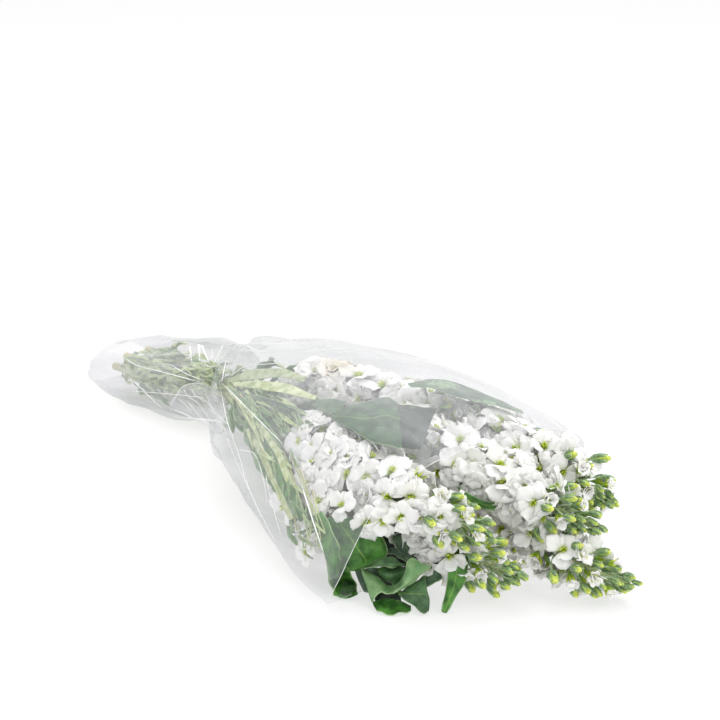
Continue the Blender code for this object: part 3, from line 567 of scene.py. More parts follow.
def linear(hex_colour):
    """An sRGB hex colour as linear RGBA."""
    out = []
    for k in (1, 3, 5):
        c = int(hex_colour[k:k + 2], 16) / 255
        out.append(c / 12.92 if c <= 0.04045 else ((c + 0.055) / 1.055) ** 2.4)
    return (*out, 1.0)


def put(tree, node, sockets):
    """Sets or links input sockets of a node."""
    for key, value in sockets.items():
        if isinstance(value, bpy.types.NodeSocket):
            tree.links.new(value, node.inputs[key])
        else:
            node.inputs[key].default_value = value


def add(tree, kind, sockets=None, **settings):
    """Adds a node, sets its fields, and sets or links its input sockets."""
    node = tree.nodes.new(kind)
    for key, value in settings.items():
        setattr(node, key, value)
    put(tree, node, sockets or {})
    return node


def new_finish(name):
    """An empty material, its tree and its shader."""
    finish = bpy.data.materials.new(name)
    finish.use_nodes = True
    return finish, finish.node_tree, finish.node_tree.nodes["Principled BSDF"]


def value_of(tree, name):
    """A named vertex value of the piece."""
    return add(tree, "ShaderNodeAttribute", attribute_name=name).outputs["Fac"]


def maths(tree, operation, *values):
    return add(tree, "ShaderNodeMath", dict(enumerate(values)), operation=operation).outputs[0]


def between(tree, value, low, high, to_low=0.0, to_high=1.0):
    """A value mapped from one span to another, with soft ends."""
    return add(tree, "ShaderNodeMapRange", {0: value, 1: low, 2: high, 3: to_low, 4: to_high},
               interpolation_type="SMOOTHSTEP").outputs[0]


def blend_of(tree, factor, a, b):
    return add(tree, "ShaderNodeMix", {0: factor, 6: a, 7: b}, data_type="RGBA").outputs[2]


def ramp(tree, value, stops):
    node = add(tree, "ShaderNodeValToRGB", {0: value})
    while len(node.color_ramp.elements) < len(stops):
        node.color_ramp.elements.new(0.5)
    for element, (place, colour) in zip(node.color_ramp.elements, stops):
        element.position = place
        element.color = linear(colour)
    return node.outputs[0]


def blotches(tree, size, detail=2.0, stretch=(1, 1, 1)):
    """Noise on the object's own coordinates, with blotches of a real size."""
    place = add(tree, "ShaderNodeTexCoord").outputs["Object"]
    place = add(tree, "ShaderNodeMapping", {0: place, 3: stretch}).outputs[0]
    return add(tree, "ShaderNodeTexNoise", {"Vector": place, "Scale": 1 / size,
                                            "Detail": detail}).outputs[0]


def dappled(tree, colour, size, low, high, dark, light):
    """A colour made darker and lighter in blotches."""
    patch = between(tree, blotches(tree, size), low, high, dark, light)
    return add(tree, "ShaderNodeVectorMath", {0: colour, 3: patch}, operation="SCALE").outputs[0]


def relief(tree, height, strength, deep):
    """A surface that looks raised by a height."""
    return add(tree, "ShaderNodeBump", {"Strength": strength, "Distance": deep, "Height": height}).outputs[0]


# Materials

def petal_finish():
    """Fresh petal of a double stock: thin, moist cell tissue, softly lit from within.

    It is a warm matt white, lime at the claw, with fine crinkles. An old petal turns beige.
    """
    finish, tree, shader = new_finish("petal tissue, white")
    tone = value_of(tree, "tone")
    white = blend_of(tree, tone, linear("#FDFDFC"), linear("#FBFAF5"))
    reach = add(tree, "ShaderNodeMapRange", {0: tone, 1: 0.0, 2: 1.0, 3: 0.30, 4: 0.44}).outputs[0]
    claw = between(tree, value_of(tree, "tip"), 0.10, reach)
    colour = blend_of(tree, claw, linear("#B4CC3C"), white)
    colour = blend_of(tree, value_of(tree, "faded"), colour, linear("#E8DCC4"))
    crinkle = blotches(tree, 2.0 * MM, 3.0)
    put(tree, shader, {
        "Base Color": colour, "Normal": relief(tree, crinkle, 0.30, 0.35 * MM), "Roughness": 0.60,
        "Specular IOR Level": 0.25, "Subsurface Weight": 0.30, "Subsurface Radius": (1.0, 0.97, 0.86),
        "Subsurface Scale": 2 * MM})
    return finish


def heart_finish():
    """Calyx, pedicel and eye of a floret: smooth green tissue, lime to yellow at the eye."""
    finish, tree, shader = new_finish("floret calyx and eye, lime")
    colour = ramp(tree, value_of(tree, "tone"), [
        (0.0, "#8FAE74"), (0.30, "#84AA54"), (0.55, "#9CC02E"), (0.78, "#CBDC34"), (1.0, "#F0EC66")])
    put(tree, shader, {
        "Base Color": dappled(tree, colour, 2.5 * MM, 0.35, 0.75, 0.82, 1.06), "Roughness": 0.50,
        "Subsurface Weight": 0.10, "Subsurface Scale": 2 * MM})
    return finish


def bud_finish():
    """Bud sepals: felted with fine hairs, so grey-green and matt, over a yellow-lime bud."""
    finish, tree, shader = new_finish("bud sepals, felted green")
    colour = ramp(tree, value_of(tree, "tone"), [
        (0.0, "#B8CBA4"), (0.16, "#9DB588"), (0.42, "#64835A"), (0.56, "#94B45A"), (0.70, "#C0D256"),
        (0.86, "#E6E676"), (1.0, "#F4F2C4")])
    felt = blotches(tree, 0.5 * MM, 1.0)  # drawn coarser than the real hairs, so that it shows
    put(tree, shader, {
        "Base Color": dappled(tree, colour, 1.6 * MM, 0.30, 0.72, 0.72, 1.30),
        "Normal": relief(tree, felt, 0.4, 0.15 * MM), "Roughness": 0.60, "Sheen Weight": 0.08})
    return finish


def stem_finish():
    """Woody herbaceous stem: ribbed pale green bark, yellow and drier at the cut end."""
    finish, tree, shader = new_finish("stem bark, pale green")
    run = value_of(tree, "run")
    place = add(tree, "ShaderNodeCombineXYZ", {
        0: maths(tree, "MULTIPLY", run, 60.0),
        1: maths(tree, "MULTIPLY", value_of(tree, "lap"), 9.0)}).outputs[0]
    streak = add(tree, "ShaderNodeTexNoise", {"Vector": place, "Scale": 1.0, "Detail": 3.0}).outputs[0]
    green = blend_of(tree, between(tree, streak, 0.32, 0.70), linear("#AFBE76"), linear("#DADFB0"))
    colour = blend_of(tree, between(tree, run, 0.020, 0.0), green, linear("#C3BA80"))
    put(tree, shader, {
        "Base Color": dappled(tree, colour, 14 * MM, 0.35, 0.70, 0.75, 1.08),
        "Normal": relief(tree, streak, 0.5, 0.3 * MM), "Roughness": 0.55})
    return finish


def leaf_finish():
    """Stock leaf: soft, felted with star hairs, so matt and a little grey.

    The midrib and the thin margin are pale, the side veins show as faint lighter lines, and the
    under side is paler. The grey tone is partly the felt's own grey, partly painted shade for leaves
    that face away from the light; tones below 0 are painted shade, down to near black, for leaves
    deep in the bunch or in dark gaps. Old ones are olive.
    """
    finish, tree, shader = new_finish("leaf blade, felted green")
    off, edge, ribbed = value_of(tree, "off"), value_of(tree, "edge"), value_of(tree, "rib")
    run, under, tone = value_of(tree, "run"), value_of(tree, "under"), value_of(tree, "tone")
    patch = between(tree, blotches(tree, 9 * MM, 5.0), 0.30, 0.70)
    # The near-black pair is painted shade; the grey pair is partly the felt's own grey, partly painted
    # shade.
    deep, fresh, grey, olive, low = (blend_of(tree, patch, linear(dark), linear(light)) for dark, light in (
        ("#0C160F", "#1E2F22"), ("#26561A", "#56923A"), ("#364E3B", "#567257"), ("#9DB062", "#E0E7BA"),
        ("#5E8A54", "#8DB07C")))
    # Tones from -1 up to 0 paint shade on the blade, from near black to grey.
    painted_shade = blend_of(tree, between(tree, tone, -1.0, -0.05), deep, grey)
    top = blend_of(tree, between(tree, tone, 0.0, 0.5), fresh, grey)
    top = blend_of(tree, between(tree, tone, 0.5, 1.0), top, olive)
    top = blend_of(tree, between(tree, tone, -0.04, 0.0), painted_shade, top)
    turned_over = maths(tree, "MAXIMUM", under, between(tree, tone, 1.3, 1.6))
    blade = blend_of(tree, turned_over, top, low)
    slant = maths(tree, "SUBTRACT", run, maths(tree, "MULTIPLY", off, 0.95))
    vein = maths(tree, "PINGPONG", maths(tree, "MULTIPLY", slant, 1 / VEIN_APART), 0.5)
    vein = maths(tree, "MULTIPLY", between(tree, vein, 0.10, 0.0), between(tree, edge, 0.0, 3.0))
    blade = blend_of(tree, maths(tree, "MULTIPLY", vein, 0.09), blade, linear("#9DBB80"))
    rib = maths(tree, "MULTIPLY", between(tree, off, 0.70, 0.25), ribbed)
    blade = blend_of(tree, rib, blade, linear("#A4C25C"))
    margin = between(tree, edge, 0.95, 0.35)
    light = between(tree, tone, -0.6, 0.2, 0.10, 0.60)
    blade = blend_of(tree, maths(tree, "MULTIPLY", margin, light), blade, linear("#BCD0A0"))
    felt = blotches(tree, 1.1 * MM, 3.0)  # drawn coarser than the real hairs, so that it shows
    dent = blotches(tree, 7 * MM, 2.0)
    height = maths(tree, "SUBTRACT", maths(tree, "MULTIPLY", felt, 0.30), maths(tree, "MULTIPLY", vein, 0.8))
    height = maths(tree, "ADD", height, maths(tree, "MULTIPLY", dent, 3.0))
    put(tree, shader, {
        "Base Color": blade, "Normal": relief(tree, height, 0.6, 0.40 * MM), "Roughness": 0.40,
        "Specular IOR Level": 0.40, "Sheen Weight": 0.02})
    return finish


def film_finish():
    """Cast polypropylene sleeve film: clear, a little milky, smooth and glossy.

    It lays a pale veil over what it covers, in long streaks, denser where it is seen edge-on and
    thinner where it lies close to the leaves, with soft ripples in the gloss.
    """
    finish, tree, shader = new_finish("sleeve film, clear polypropylene")
    streak = blotches(tree, 26 * MM, 2.0, (0.22, 1.0, 1.0))
    cloud = blotches(tree, 12 * MM, 3.0, (0.40, 1.4, 1.4))
    veil = maths(tree, "ADD", between(tree, streak, 0.34, 0.66, 0.23, 0.37),
                 between(tree, cloud, 0.50, 0.75, 0.0, 0.04))
    facing = add(tree, "ShaderNodeLayerWeight", {0: 0.5}).outputs["Facing"]
    veil = maths(tree, "ADD", veil, maths(tree, "MULTIPLY", maths(tree, "POWER", facing, 3.0), 0.20))
    ripple = blotches(tree, 22 * MM, 2.0, (0.3, 1.0, 1.0))
    put(tree, shader, {
        "Base Color": linear("#CACACF"), "Alpha": maths(tree, "MULTIPLY", veil, value_of(tree, "veil")),
        "Normal": relief(tree, ripple, 0.5, 1.0 * MM), "Roughness": 0.16, "IOR": FILM_IOR})
    return finish


def crease_highlight_finish():
    """Sharp folds in the film, painted white as the highlight where they catch the light."""
    finish, tree, shader = new_finish("film crease, painted white highlight")
    faint = between(tree, blotches(tree, 30 * MM, 2.0), 0.30, 0.60, 0.42, 0.82)
    put(tree, shader, {
        "Base Color": linear("#F8F8F8"), "Alpha": maths(tree, "MULTIPLY", faint, value_of(tree, "shine")),
        "Roughness": 0.20, "IOR": FILM_IOR})
    return finish


# Trees of geometry nodes

def new_tree(name, inputs):
    """A geometry tree with named inputs. Returns it, its input node and the sockets' identifiers."""
    tree = bpy.data.node_groups.new(name, "GeometryNodeTree")
    tree.interface.new_socket("Geometry", in_out="INPUT", socket_type="NodeSocketGeometry")
    ids = {}
    for label, kind, value in inputs:
        socket = tree.interface.new_socket(label, in_out="INPUT", socket_type="NodeSocket" + kind)
        if value is not None:
            socket.default_value = value
        ids[label] = socket.identifier
    tree.interface.new_socket("Geometry", in_out="OUTPUT", socket_type="NodeSocketGeometry")
    return tree, add(tree, "NodeGroupInput"), ids


def end_tree(tree, given, geometry):
    """Ends a tree in real geometry with its finish."""
    whole = add(tree, "GeometryNodeRealizeInstances", {0: geometry})
    last = add(tree, "GeometryNodeSetMaterial", {"Geometry": whole.outputs[0],
                                                 "Material": given.outputs["Finish"]})
    add(tree, "NodeGroupOutput", {0: last.outputs[0]})


def carried(tree, name, kind="FLOAT"):
    """A named value that the points carry."""
    return add(tree, "GeometryNodeInputNamedAttribute", {"Name": name}, data_type=kind).outputs[0]


def stored(tree, geometry, name, value):
    """Geometry that carries a named value at each point."""
    return add(tree, "GeometryNodeStoreNamedAttribute", {"Geometry": geometry, "Name": name, "Value": value},
               data_type="FLOAT", domain="POINT").outputs[0]


def copies_tree():
    """Sets one of a collection's shapes on each point, turned and sized as the point says."""
    tree, given, ids = new_tree("copies on points", [
        ("Shapes", "Collection", None), ("Size", "Float", 1.0), ("Spread of size", "Float", 0.08),
        ("Seed", "Int", 1), ("Finish", "Material", None)])
    shapes = add(tree, "GeometryNodeCollectionInfo", {"Collection": given.outputs["Shapes"],
                                                      "Separate Children": True, "Reset Children": True})
    low = maths(tree, "SUBTRACT", 1.0, given.outputs["Spread of size"])
    high = maths(tree, "ADD", 1.0, given.outputs["Spread of size"])
    chance = add(tree, "FunctionNodeRandomValue", {2: low, 3: high, "Seed": given.outputs["Seed"]},
                 data_type="FLOAT")
    scale = maths(tree, "MULTIPLY", carried(tree, "size"), given.outputs["Size"])
    scale = maths(tree, "MULTIPLY", scale, chance.outputs[1])
    euler = add(tree, "FunctionNodeEulerToRotation", {0: carried(tree, "turn", "FLOAT_VECTOR")})
    copies = add(tree, "GeometryNodeInstanceOnPoints", {
        "Points": given.outputs["Geometry"], "Instance": shapes.outputs[0], "Pick Instance": True,
        "Instance Index": carried(tree, "kind", "INT"), "Rotation": euler.outputs[0], "Scale": scale})
    end_tree(tree, given, copies.outputs[0])
    return tree, ids


def rod_tree():
    """Turns lines into closed rods whose girth follows the points."""
    tree, given, ids = new_tree("rods on lines", [
        ("Girth", "Float", 1.0), ("Sides", "Int", 8), ("Flatness", "Float", 1.0),
        ("Finish", "Material", None)])
    line = add(tree, "GeometryNodeMeshToCurve", {0: given.outputs["Geometry"]})
    wide = maths(tree, "MULTIPLY", carried(tree, "girth"), given.outputs["Girth"])
    line = add(tree, "GeometryNodeSetCurveRadius", {"Curve": line.outputs[0], "Radius": wide})
    run = add(tree, "GeometryNodeSplineParameter").outputs["Length"]
    line = stored(tree, line.outputs[0], "run", run)
    circle = add(tree, "GeometryNodeCurvePrimitiveCircle", {"Resolution": given.outputs["Sides"],
                                                            "Radius": 1.0})
    lap = add(tree, "GeometryNodeSplineParameter").outputs["Factor"]
    circle = stored(tree, circle.outputs[0], "lap", lap)
    squash = add(tree, "ShaderNodeCombineXYZ", {0: 1.0, 1: given.outputs["Flatness"], 2: 1.0})
    circle = add(tree, "GeometryNodeTransform", {"Geometry": circle, "Scale": squash.outputs[0]})
    rod = add(tree, "GeometryNodeCurveToMesh", {"Curve": line, "Profile Curve": circle.outputs[0],
                                                "Fill Caps": True})
    if "Scale" in rod.inputs:  # the girth has a socket of its own here
        tree.links.new(wide, rod.inputs["Scale"])
    smooth = add(tree, "GeometryNodeSetShadeSmooth", {0: rod.outputs[0]})
    end_tree(tree, given, smooth.outputs[0])
    return tree, ids


def grown(obj, tree_and_ids, name, **settings):
    """The plain mesh that a tree makes of an object, which it takes the place of."""
    tree, ids = tree_and_ids
    mod = obj.modifiers.new("grow", "NODES")
    mod.node_group = tree
    for label, value in settings.items():
        mod[ids[label.replace("_", " ")]] = value
    bpy.context.view_layer.update()
    made = obj.evaluated_get(bpy.context.evaluated_depsgraph_get())
    mesh = bpy.data.meshes.new_from_object(made)
    mesh.name = name
    obj.modifiers.remove(mod)
    bpy.data.objects.remove(obj, do_unlink=True)
    return object_of(name, mesh)


def points_object(name, places, **values):
    """Loose points with named values."""
    mesh = bpy.data.meshes.new(name)
    mesh.from_pydata([tuple(p) for p in places], [], [])
    for key, value in values.items():
        give(mesh, key, value)
    return object_of(name, mesh)


def lines_object(name, lines):
    """Poly lines with a girth and a shine at each point."""
    verts, edges, girth, shine = [], [], [], []
    for path, radius, *bright in lines:
        first = len(verts)
        verts += [tuple(p) for p in path]
        edges += [(first + k, first + k + 1) for k in range(len(path) - 1)]
        girth += list(np.broadcast_to(radius, len(path)))
        shine += [bright[0] if bright else 1.0] * len(path)
    mesh = bpy.data.meshes.new(name)
    mesh.from_pydata(verts, edges, [])
    give(mesh, "girth", girth)
    give(mesh, "shine", shine)
    return object_of(name, mesh)


def rods_on(name, lines, rods, sides, finish):
    """Rods along lines that each have a path, a radius and, for a crease, a shine."""
    return grown(lines_object(name, lines), rods, name, Girth=1.0, Sides=sides, Flatness=1.0, Finish=finish)


# Places in the photograph

def seen(px, py, far):
    """Place that the photograph shows at a pixel, at a distance along the view."""
    ray = np.array([(px - PICTURE / 2) / FOCUS, (PICTURE / 2 - py) / FOCUS, -1.0])
    return CAMERA + VIEW @ ray * far


def on_film(film, px, py, inset):
    """Place behind a pixel, that far inside the film, and the film's way out there."""
    way = unit(seen(px, py, 1.0) - CAMERA)
    hit = film.ray_cast(Vector(CAMERA), Vector(way), 3.0)
    if hit[0] is None:  # just past the film's outline
        hit = film.find_nearest(Vector(seen(px, py, 1.5)))
    out = np.array(hit[1])
    if np.dot(out, way) > 0:
        out = -out
    return np.array(hit[0]) + way * inset, out


# Film sleeve

def film_section(x):
    """The film's section at each x: a row of FILM_ROWS without its x."""
    return smooth_table(x, FILM_ROWS[:, 0], FILM_ROWS[:, 1:])


def film_point(x, turn):
    """Point of the smooth film at a section's x and an angle: 0 is the far side, 90 degrees the top."""
    x, turn = np.broadcast_arrays(np.asarray(x, float), np.asarray(turn, float))
    lean, y0, y1, bottom, top, near, far, square, high = np.moveaxis(film_section(x), -1, 0)
    yc, half = (y0 + y1) / 2, (y1 - y0) / 2
    c, s = np.cos(turn), np.sin(turn)
    wide = (near + far) / 2 + (far - near) / 2 * np.cos(turn)
    low_power = 2 / np.interp(bottom, [0.0, 0.012], [4.0, 2.0])  # squarer where it rests on the floor
    power = np.where(s > 0, 2 / square, low_power)
    y = yc + half * np.sign(c) * np.abs(c) ** power
    rise = (1 - high * (y - yc) / half) * (top - wide) * np.abs(s) ** power
    z = np.where(s > 0, wide + rise, wide - (wide - bottom) * np.abs(s) ** power)
    bow = np.interp(x, [0.40, 0.502], [0.0, MOUTH_BOW])  # the near side of the mouth bulges forward
    bow = bow * np.clip((yc - y) / half, 0, 1) * np.sin(math.pi * np.clip(z / 0.09, 0, 1))
    return np.stack([x + lean * z + bow, y, np.maximum(z, 0.0)], axis=-1)


def saw(x):
    """A wave of straight slopes between -1 and 1, with sharp tops."""
    return 4 * np.abs(x - np.floor(x + 0.5)) - 1


def film_relief(x, turn):
    """How far the film stands out or in round the tie, where it is gathered in flutes."""
    swell = np.interp(np.abs(x - WAIST[0]), *FLUTES)
    lap = turn / (2 * math.pi)
    drift = 0.02 * np.sin(40 * x)
    return swell * (0.60 * saw(9 * (lap + drift)) + 0.35 * saw(14 * (lap - drift) + 0.4))


def film_crumple(places):
    """Soft random dents and ridges of the film at each place."""
    out = np.empty(len(places))
    for k, p in enumerate(places):
        broad = noise.noise(Vector((p[0] * 12, p[1] * 20, p[2] * 20)))
        fold = 0.5 - abs(noise.noise(Vector((p[0] * 22 + 7.1, p[1] * 38, p[2] * 38))))
        out[k] = 0.0030 * broad + 0.0018 * (fold - 0.25)
    return out


def film_sheet(finish):
    """The whole sleeve as one sheet, open at the mouth and at the cut ends."""
    x = np.concatenate([np.linspace(low, high, steps, endpoint=high == FILM_ROWS[-1, 0])
                        for low, high, steps in FILM_STRETCHES])
    turn = 2 * math.pi * np.arange(FILM_AROUND) / FILM_AROUND
    xx, tt = np.meshgrid(x, turn, indexing="ij")
    base = film_point(xx, tt)
    along = np.gradient(base, axis=0)
    across = np.roll(base, -1, axis=1) - np.roll(base, 1, axis=1)
    normal = units(np.cross(across, along))
    middle = base.mean(axis=1, keepdims=True)
    normal *= np.sign((normal * (base - middle)).sum(axis=-1).mean())
    crumple = film_crumple(base.reshape(-1, 3)).reshape(xx.shape)
    calm = np.interp(np.abs(xx - WAIST[0]), [0.0, 0.006, 0.03], [0.0, 0.0, 1.0])
    grid = base + normal * (film_relief(xx, tt) + crumple * calm)[..., None]
    grid[..., 2] = np.maximum(grid[..., 2], 0.0004)
    at = np.arange(xx.size).reshape(xx.shape)
    nxt = np.roll(at, -1, axis=1)
    faces = np.stack([at[:-1], nxt[:-1], nxt[1:], at[1:]], axis=-1).reshape(-1, 4)
    if (np.cross(across, along) * normal).sum() < 0:
        faces = faces[:, ::-1]
    sheet = Patchwork()
    thin = np.interp(xx, [0.39, 0.46], [0.0, 0.5]) * np.interp(grid[..., 1], [-0.10, -0.06], [1.0, 0.0])
    foot = np.interp(xx, [-0.03, 0.11, 0.15], [0.45, 0.40, 0.0])
    sheet.add(grid.reshape(-1, 3), [tuple(int(i) for i in f) for f in faces], veil=(1 - thin + foot).ravel())
    obj = sheet.build("sleeve_film", finish)
    return obj, surface_of(obj), grid[-1]


def film_creases(finish, film, rods, ring):
    """Slim white rods that lie on the film along its folds as painted highlights, and its cut edge at the
    mouth.
    """
    lines = []
    for strength, shine, *marks in CREASES:
        marks = np.array(marks, float)
        steps = max(6, int(np.linalg.norm(np.diff(marks, axis=0), axis=1).sum() / 3))
        laid = []
        for px, py in through(marks, steps):
            place, out = on_film(film, px, py, 0.0)
            laid.append(place + out * 0.0003)
        t = np.linspace(0, 1, len(laid))
        girth = np.clip(np.sin(math.pi * t) * 2.5, 0.25, 1) if strength > 0 else 1.05 - t
        lines.append((laid, abs(strength) * MM * girth, shine))
    lines.append((list(ring) + [ring[0]], CUT_EDGE, 0.9))
    return rods_on("sleeve_creases", lines, rods, 6, finish)


def film_patches(name, patches, finish, film):
    """Extra folds of gathered film at the tie."""
    work = Patchwork()
    for lift, rows in patches:
        grid = np.array([[on_film(film, px, py, 0.0)[0] for px, py in row] for row in rows])
        out = unit(CAMERA - grid.mean(axis=(0, 1)))
        n, m = grid.shape[:2]
        fine = through(np.swapaxes(through(grid, 12 * (n - 1) + 1), 0, 1), 16 * (m - 1) + 1)
        fine = np.swapaxes(fine, 0, 1)
        u = np.linspace(0, 1, fine.shape[0])[:, None]
        v = np.linspace(0, 1, fine.shape[1])[None, :]
        inner = np.sin(math.pi * u) * np.sin(math.pi * v)
        rise = 0.0004 + lift * inner ** 0.5
        rise = rise + lift * inner * (0.30 * saw(3.1 * v + 1.3 * u) + 0.18 * saw(2.3 * u - 1.9 * v + 0.3))
        verts, faces, _ = shell(fine + rise[..., None] * out, FLAP_THICK)
        work.add(verts, faces, veil=0.8)
    return work.build(name, finish)


def tie_band(finish):
    """Clear band round the waist of the sleeve, a little pleated by the film under it."""
    around, band = 120, 0.0028
    profile = [(-band, 0.0143), (-band, 0.0153), (-band * 0.6, 0.0157), (band * 0.6, 0.0157),
               (band, 0.0153), (band, 0.0143)]
    verts, faces, m = [], [], len(profile)
    for k in range(around):
        a = 2 * math.pi * k / around
        pleat = 0.00012 * math.sin(19 * a) + 0.00008 * math.sin(31 * a)
        for x, r in profile:
            y, z = (r + pleat) * math.cos(a), (r + pleat) * math.sin(a)
            verts.append((WAIST[0] + x, WAIST[1] + y, WAIST[2] + z))
        for j in range(m):
            here, there, nxt = k * m, (k + 1) % around * m, (j + 1) % m
            faces.append((here + j, there + j, there + nxt, here + nxt))
    work = Patchwork()
    # The band wears the same painted white highlight as the creases.
    work.add(verts, faces, shine=0.9)
    return work.build("tie_band", finish)


def pressed_in(verts, film, soft):
    """Points that stick through the film or the floor are pressed back inside, soft ones bit by bit."""
    out = np.array(verts, float)
    rows = film_section(np.clip(out[:, 0], FILM_ROWS[0, 0], FILM_ROWS[-1, 0]))
    for k, p in enumerate(out):
        if p[0] >= PAST_MOUTH:
            continue
        middle = Vector((p[0], (rows[k, 1] + rows[k, 2]) / 2, max(0.024, rows[k, 4] * 0.4)))
        way = Vector(p) - middle
        far = way.length
        if far <= FREE_MIDDLE:
            continue
        hit = film.ray_cast(middle, way / far, far * 1.3 if soft else far + FILM_GAP)
        if hit[0] is None:
            continue
        room = hit[3] - FILM_GAP
        free = room * SOFT_FROM if soft else room
        if far > free:
            over = (room - free) * (1 - math.exp((free - far) / (room - free))) if soft else 0.0
            out[k] = middle + (way / far) * (free + over)
    out[:, 2] = np.maximum(out[:, 2], 0.0006)
    return out


def press_mesh(obj, film, soft):
    """Presses a piece back inside the film."""
    obj.data.vertices.foreach_set("co", pressed_in(places_of(obj), film, soft).ravel())
    obj.data.update()


# Stems

def plan_stems():
    """The way of each stem from its cut end to its last bud, as in the frame."""
    stems = {}
    for name, (angle, end, head, stop, count, buds) in STEMS.items():
        a = math.radians(angle or 0.0)
        off = np.array([0.0, -math.cos(a), math.sin(a)]) * (0.0 if angle is None else 1.0)
        w = np.array(WAIST)
        ways = [np.array([end, 0.024, 0.0275]) + off * np.array([0, 0.021, 0.0165]),
                np.array([0.075, 0.022, 0.030]) + off * np.array([0, 0.0155, 0.0145]),
                w - (0.022, 0, 0.0007) + off * (RING + 0.0010), w + off * RING,
                w + (0.022, 0, 0.0007) + off * (RING + 0.0012)]
        path = curve(ways + [np.array(p) for p in head], 0.002)
        way = length_along(path)
        foot = way[np.argmin(np.linalg.norm(path - np.array(head[0]), axis=1))]
        waist = way[np.argmin(np.linalg.norm(path - ways[3], axis=1))]
        radius = np.interp(way, [0, waist, foot, way[-1]], [R_CUT, R_WAIST, R_HEAD, R_TIP])
        stems[name] = dict(path=path, way=way, foot=foot, radius=radius, count=count, buds=buds, loose=[],
                           green=GREEN.get(name, FEW), end=foot + stop * (way[-1] - foot))
    return stems


def spot(stem, at):
    """Point, along, across, up and radius at a length on a stem."""
    p, q, o = (sample(stem["path"], stem["way"], at + d) for d in (0.0, 0.003, -0.003))
    along = unit(q - o)
    across = unit(np.cross([0, 0, 1.0], along))
    return p, along, across, np.cross(along, across), np.interp(at, stem["way"], stem["radius"])


def beside(stem, at, angle):
    """Point, along, and the way out at an angle round a stem, at a length on it."""
    p, along, across, up, _ = spot(stem, at)
    return p, along, math.cos(angle) * across + math.sin(angle) * up


def leaned(out, along, lean):
    """Way out from a stem that leans along it."""
    return unit(out * math.cos(lean) + along * math.sin(lean))


def stem_rod(name, stem, finish, rods):
    """The bare stem, with a small swelling at each leaf scar."""
    keep = stem["way"] < stem["end"] + 0.82 * (stem["way"][-1] - stem["end"])
    way, path = stem["way"][keep], stem["path"][keep]
    swell = 1 + 0.10 * np.maximum(0, np.sin(way * 2 * math.pi / SCARS + len(name) + path[0, 0] * 99)) ** 8
    return rods_on(name, [(path, stem["radius"][keep] * swell)], rods, 10, finish)


def stalks(name, film, lines, finish, rods):
    """Thin flower stalks that show through the film."""
    paths = []
    for inset, radius, *marks in lines:
        places = [on_film(film, px, py, inset * MM)[0] for px, py in marks]
        paths.append((curve(places, 0.004), radius * MM))
    return rods_on(name, paths, rods, 6, finish)


# Leaves

def add_blade(work, grid, off, edge, run, tone, rib):
    """Adds a leaf's skin, with its measures in millimetres from midrib, margin and base."""
    verts, quads, under = shell(grid, LEAF_THICK)
    run = np.repeat(run[:, None], grid.shape[1], axis=1)
    off, edge, run = (np.tile(a.ravel() * 1000, 2) for a in (off, edge, run))
    work.add(verts, quads, off=off, edge=edge, run=run, under=under, tone=tone, rib=rib)


def leaf(work, ways, face, half, fold, wave, beats, tone, rows):
    """Small leaf on a midrib, its halves folded up by some degrees, curled and wavy."""
    cols, curl = 2, 24
    path = curve(ways, 0.0015)
    way = length_along(path)
    t = np.linspace(0, 1, rows + 1)
    p = sample(path, way, t * way[-1])
    along = units(np.gradient(p, axis=0))
    side = units(np.cross(np.array(face, float), along))
    norm = np.cross(along, side)
    reach = math.pi * np.clip((t - 0.02) / 0.97, 0, 1) ** 1.15
    wide = half * np.maximum(np.sin(reach), 0) ** 0.75
    wide = np.maximum(wide, half * 0.16 * (1 - t) * np.exp(-t * 3) + 0.0006)
    s = np.linspace(0, 1, cols + 1)
    arch = np.sin(math.pi * np.clip(t, 0.02, 0.98))[:, None] ** 0.5
    bend = np.interp(t, [0, 0.3, 1], [fold * 1.6 + 10, fold, fold])[:, None]
    angle = np.radians(bend + curl * s[None, :] * arch)[:, 1:]
    step = wide[:, None] / cols
    start = np.zeros((rows + 1, 1))
    flat = np.concatenate([start, np.cumsum(np.cos(angle) * step, axis=1)], axis=1)
    rise = np.concatenate([start, np.cumsum(np.sin(angle) * step, axis=1)], axis=1)
    grid = np.zeros((rows + 1, 2 * cols + 1, 3))
    for sign in (-1, 1):
        beat = wave * np.sin(2 * math.pi * beats * t + rng.uniform(0, 6.28))
        high = rise + (beat * wide / half)[:, None] * s[None, :] ** 2
        q = p[:, None, :] + sign * flat[..., None] * side[:, None, :] + high[..., None] * norm[:, None, :]
        grid[:, cols + sign * np.arange(cols + 1)] = q
    off = np.abs(np.linspace(-1, 1, 2 * cols + 1)) * wide[:, None]
    add_blade(work, grid, off, wide[:, None] - off, t * way[-1], tone, FAINT_RIB)


def grown_leaves(work, stem):
    """Leaves along a stem: short and crowded by the cut end, narrow and long up to the head."""
    for low, high, count, long, leans, tones in LEAFY:
        high = high or stem["foot"] - 0.006
        for k in range(count):
            at = low + (high - low) * (k + rng.uniform(0.1, 0.9)) / count
            p, along, across, up, r = spot(stem, at)
            a = rng.uniform(0, 2 * math.pi)
            out = math.cos(a) * across + math.sin(a) * up
            size = long * rng.uniform(0.60, 1.35)
            lean, bend = rng.uniform(*leans), rng.uniform(-0.25, 0.35)
            ways = [p + out * r * 0.6]
            for t in (0.15, 0.4, 0.7, 1.0):
                reach = r + size * lean * math.sin(1.5 * t)
                q = p + along * size * t + out * reach - up * bend * size * t * t
                q[2] = max(q[2], 0.003)
                ways.append(q)
            face = out + rng.uniform(-0.8, 0.8) * across
            leaf(work, ways, face, size * rng.uniform(0.08, 0.15), 16, 0.0016, rng.uniform(1.5, 3.5),
                 rng.choice(tones), 8)


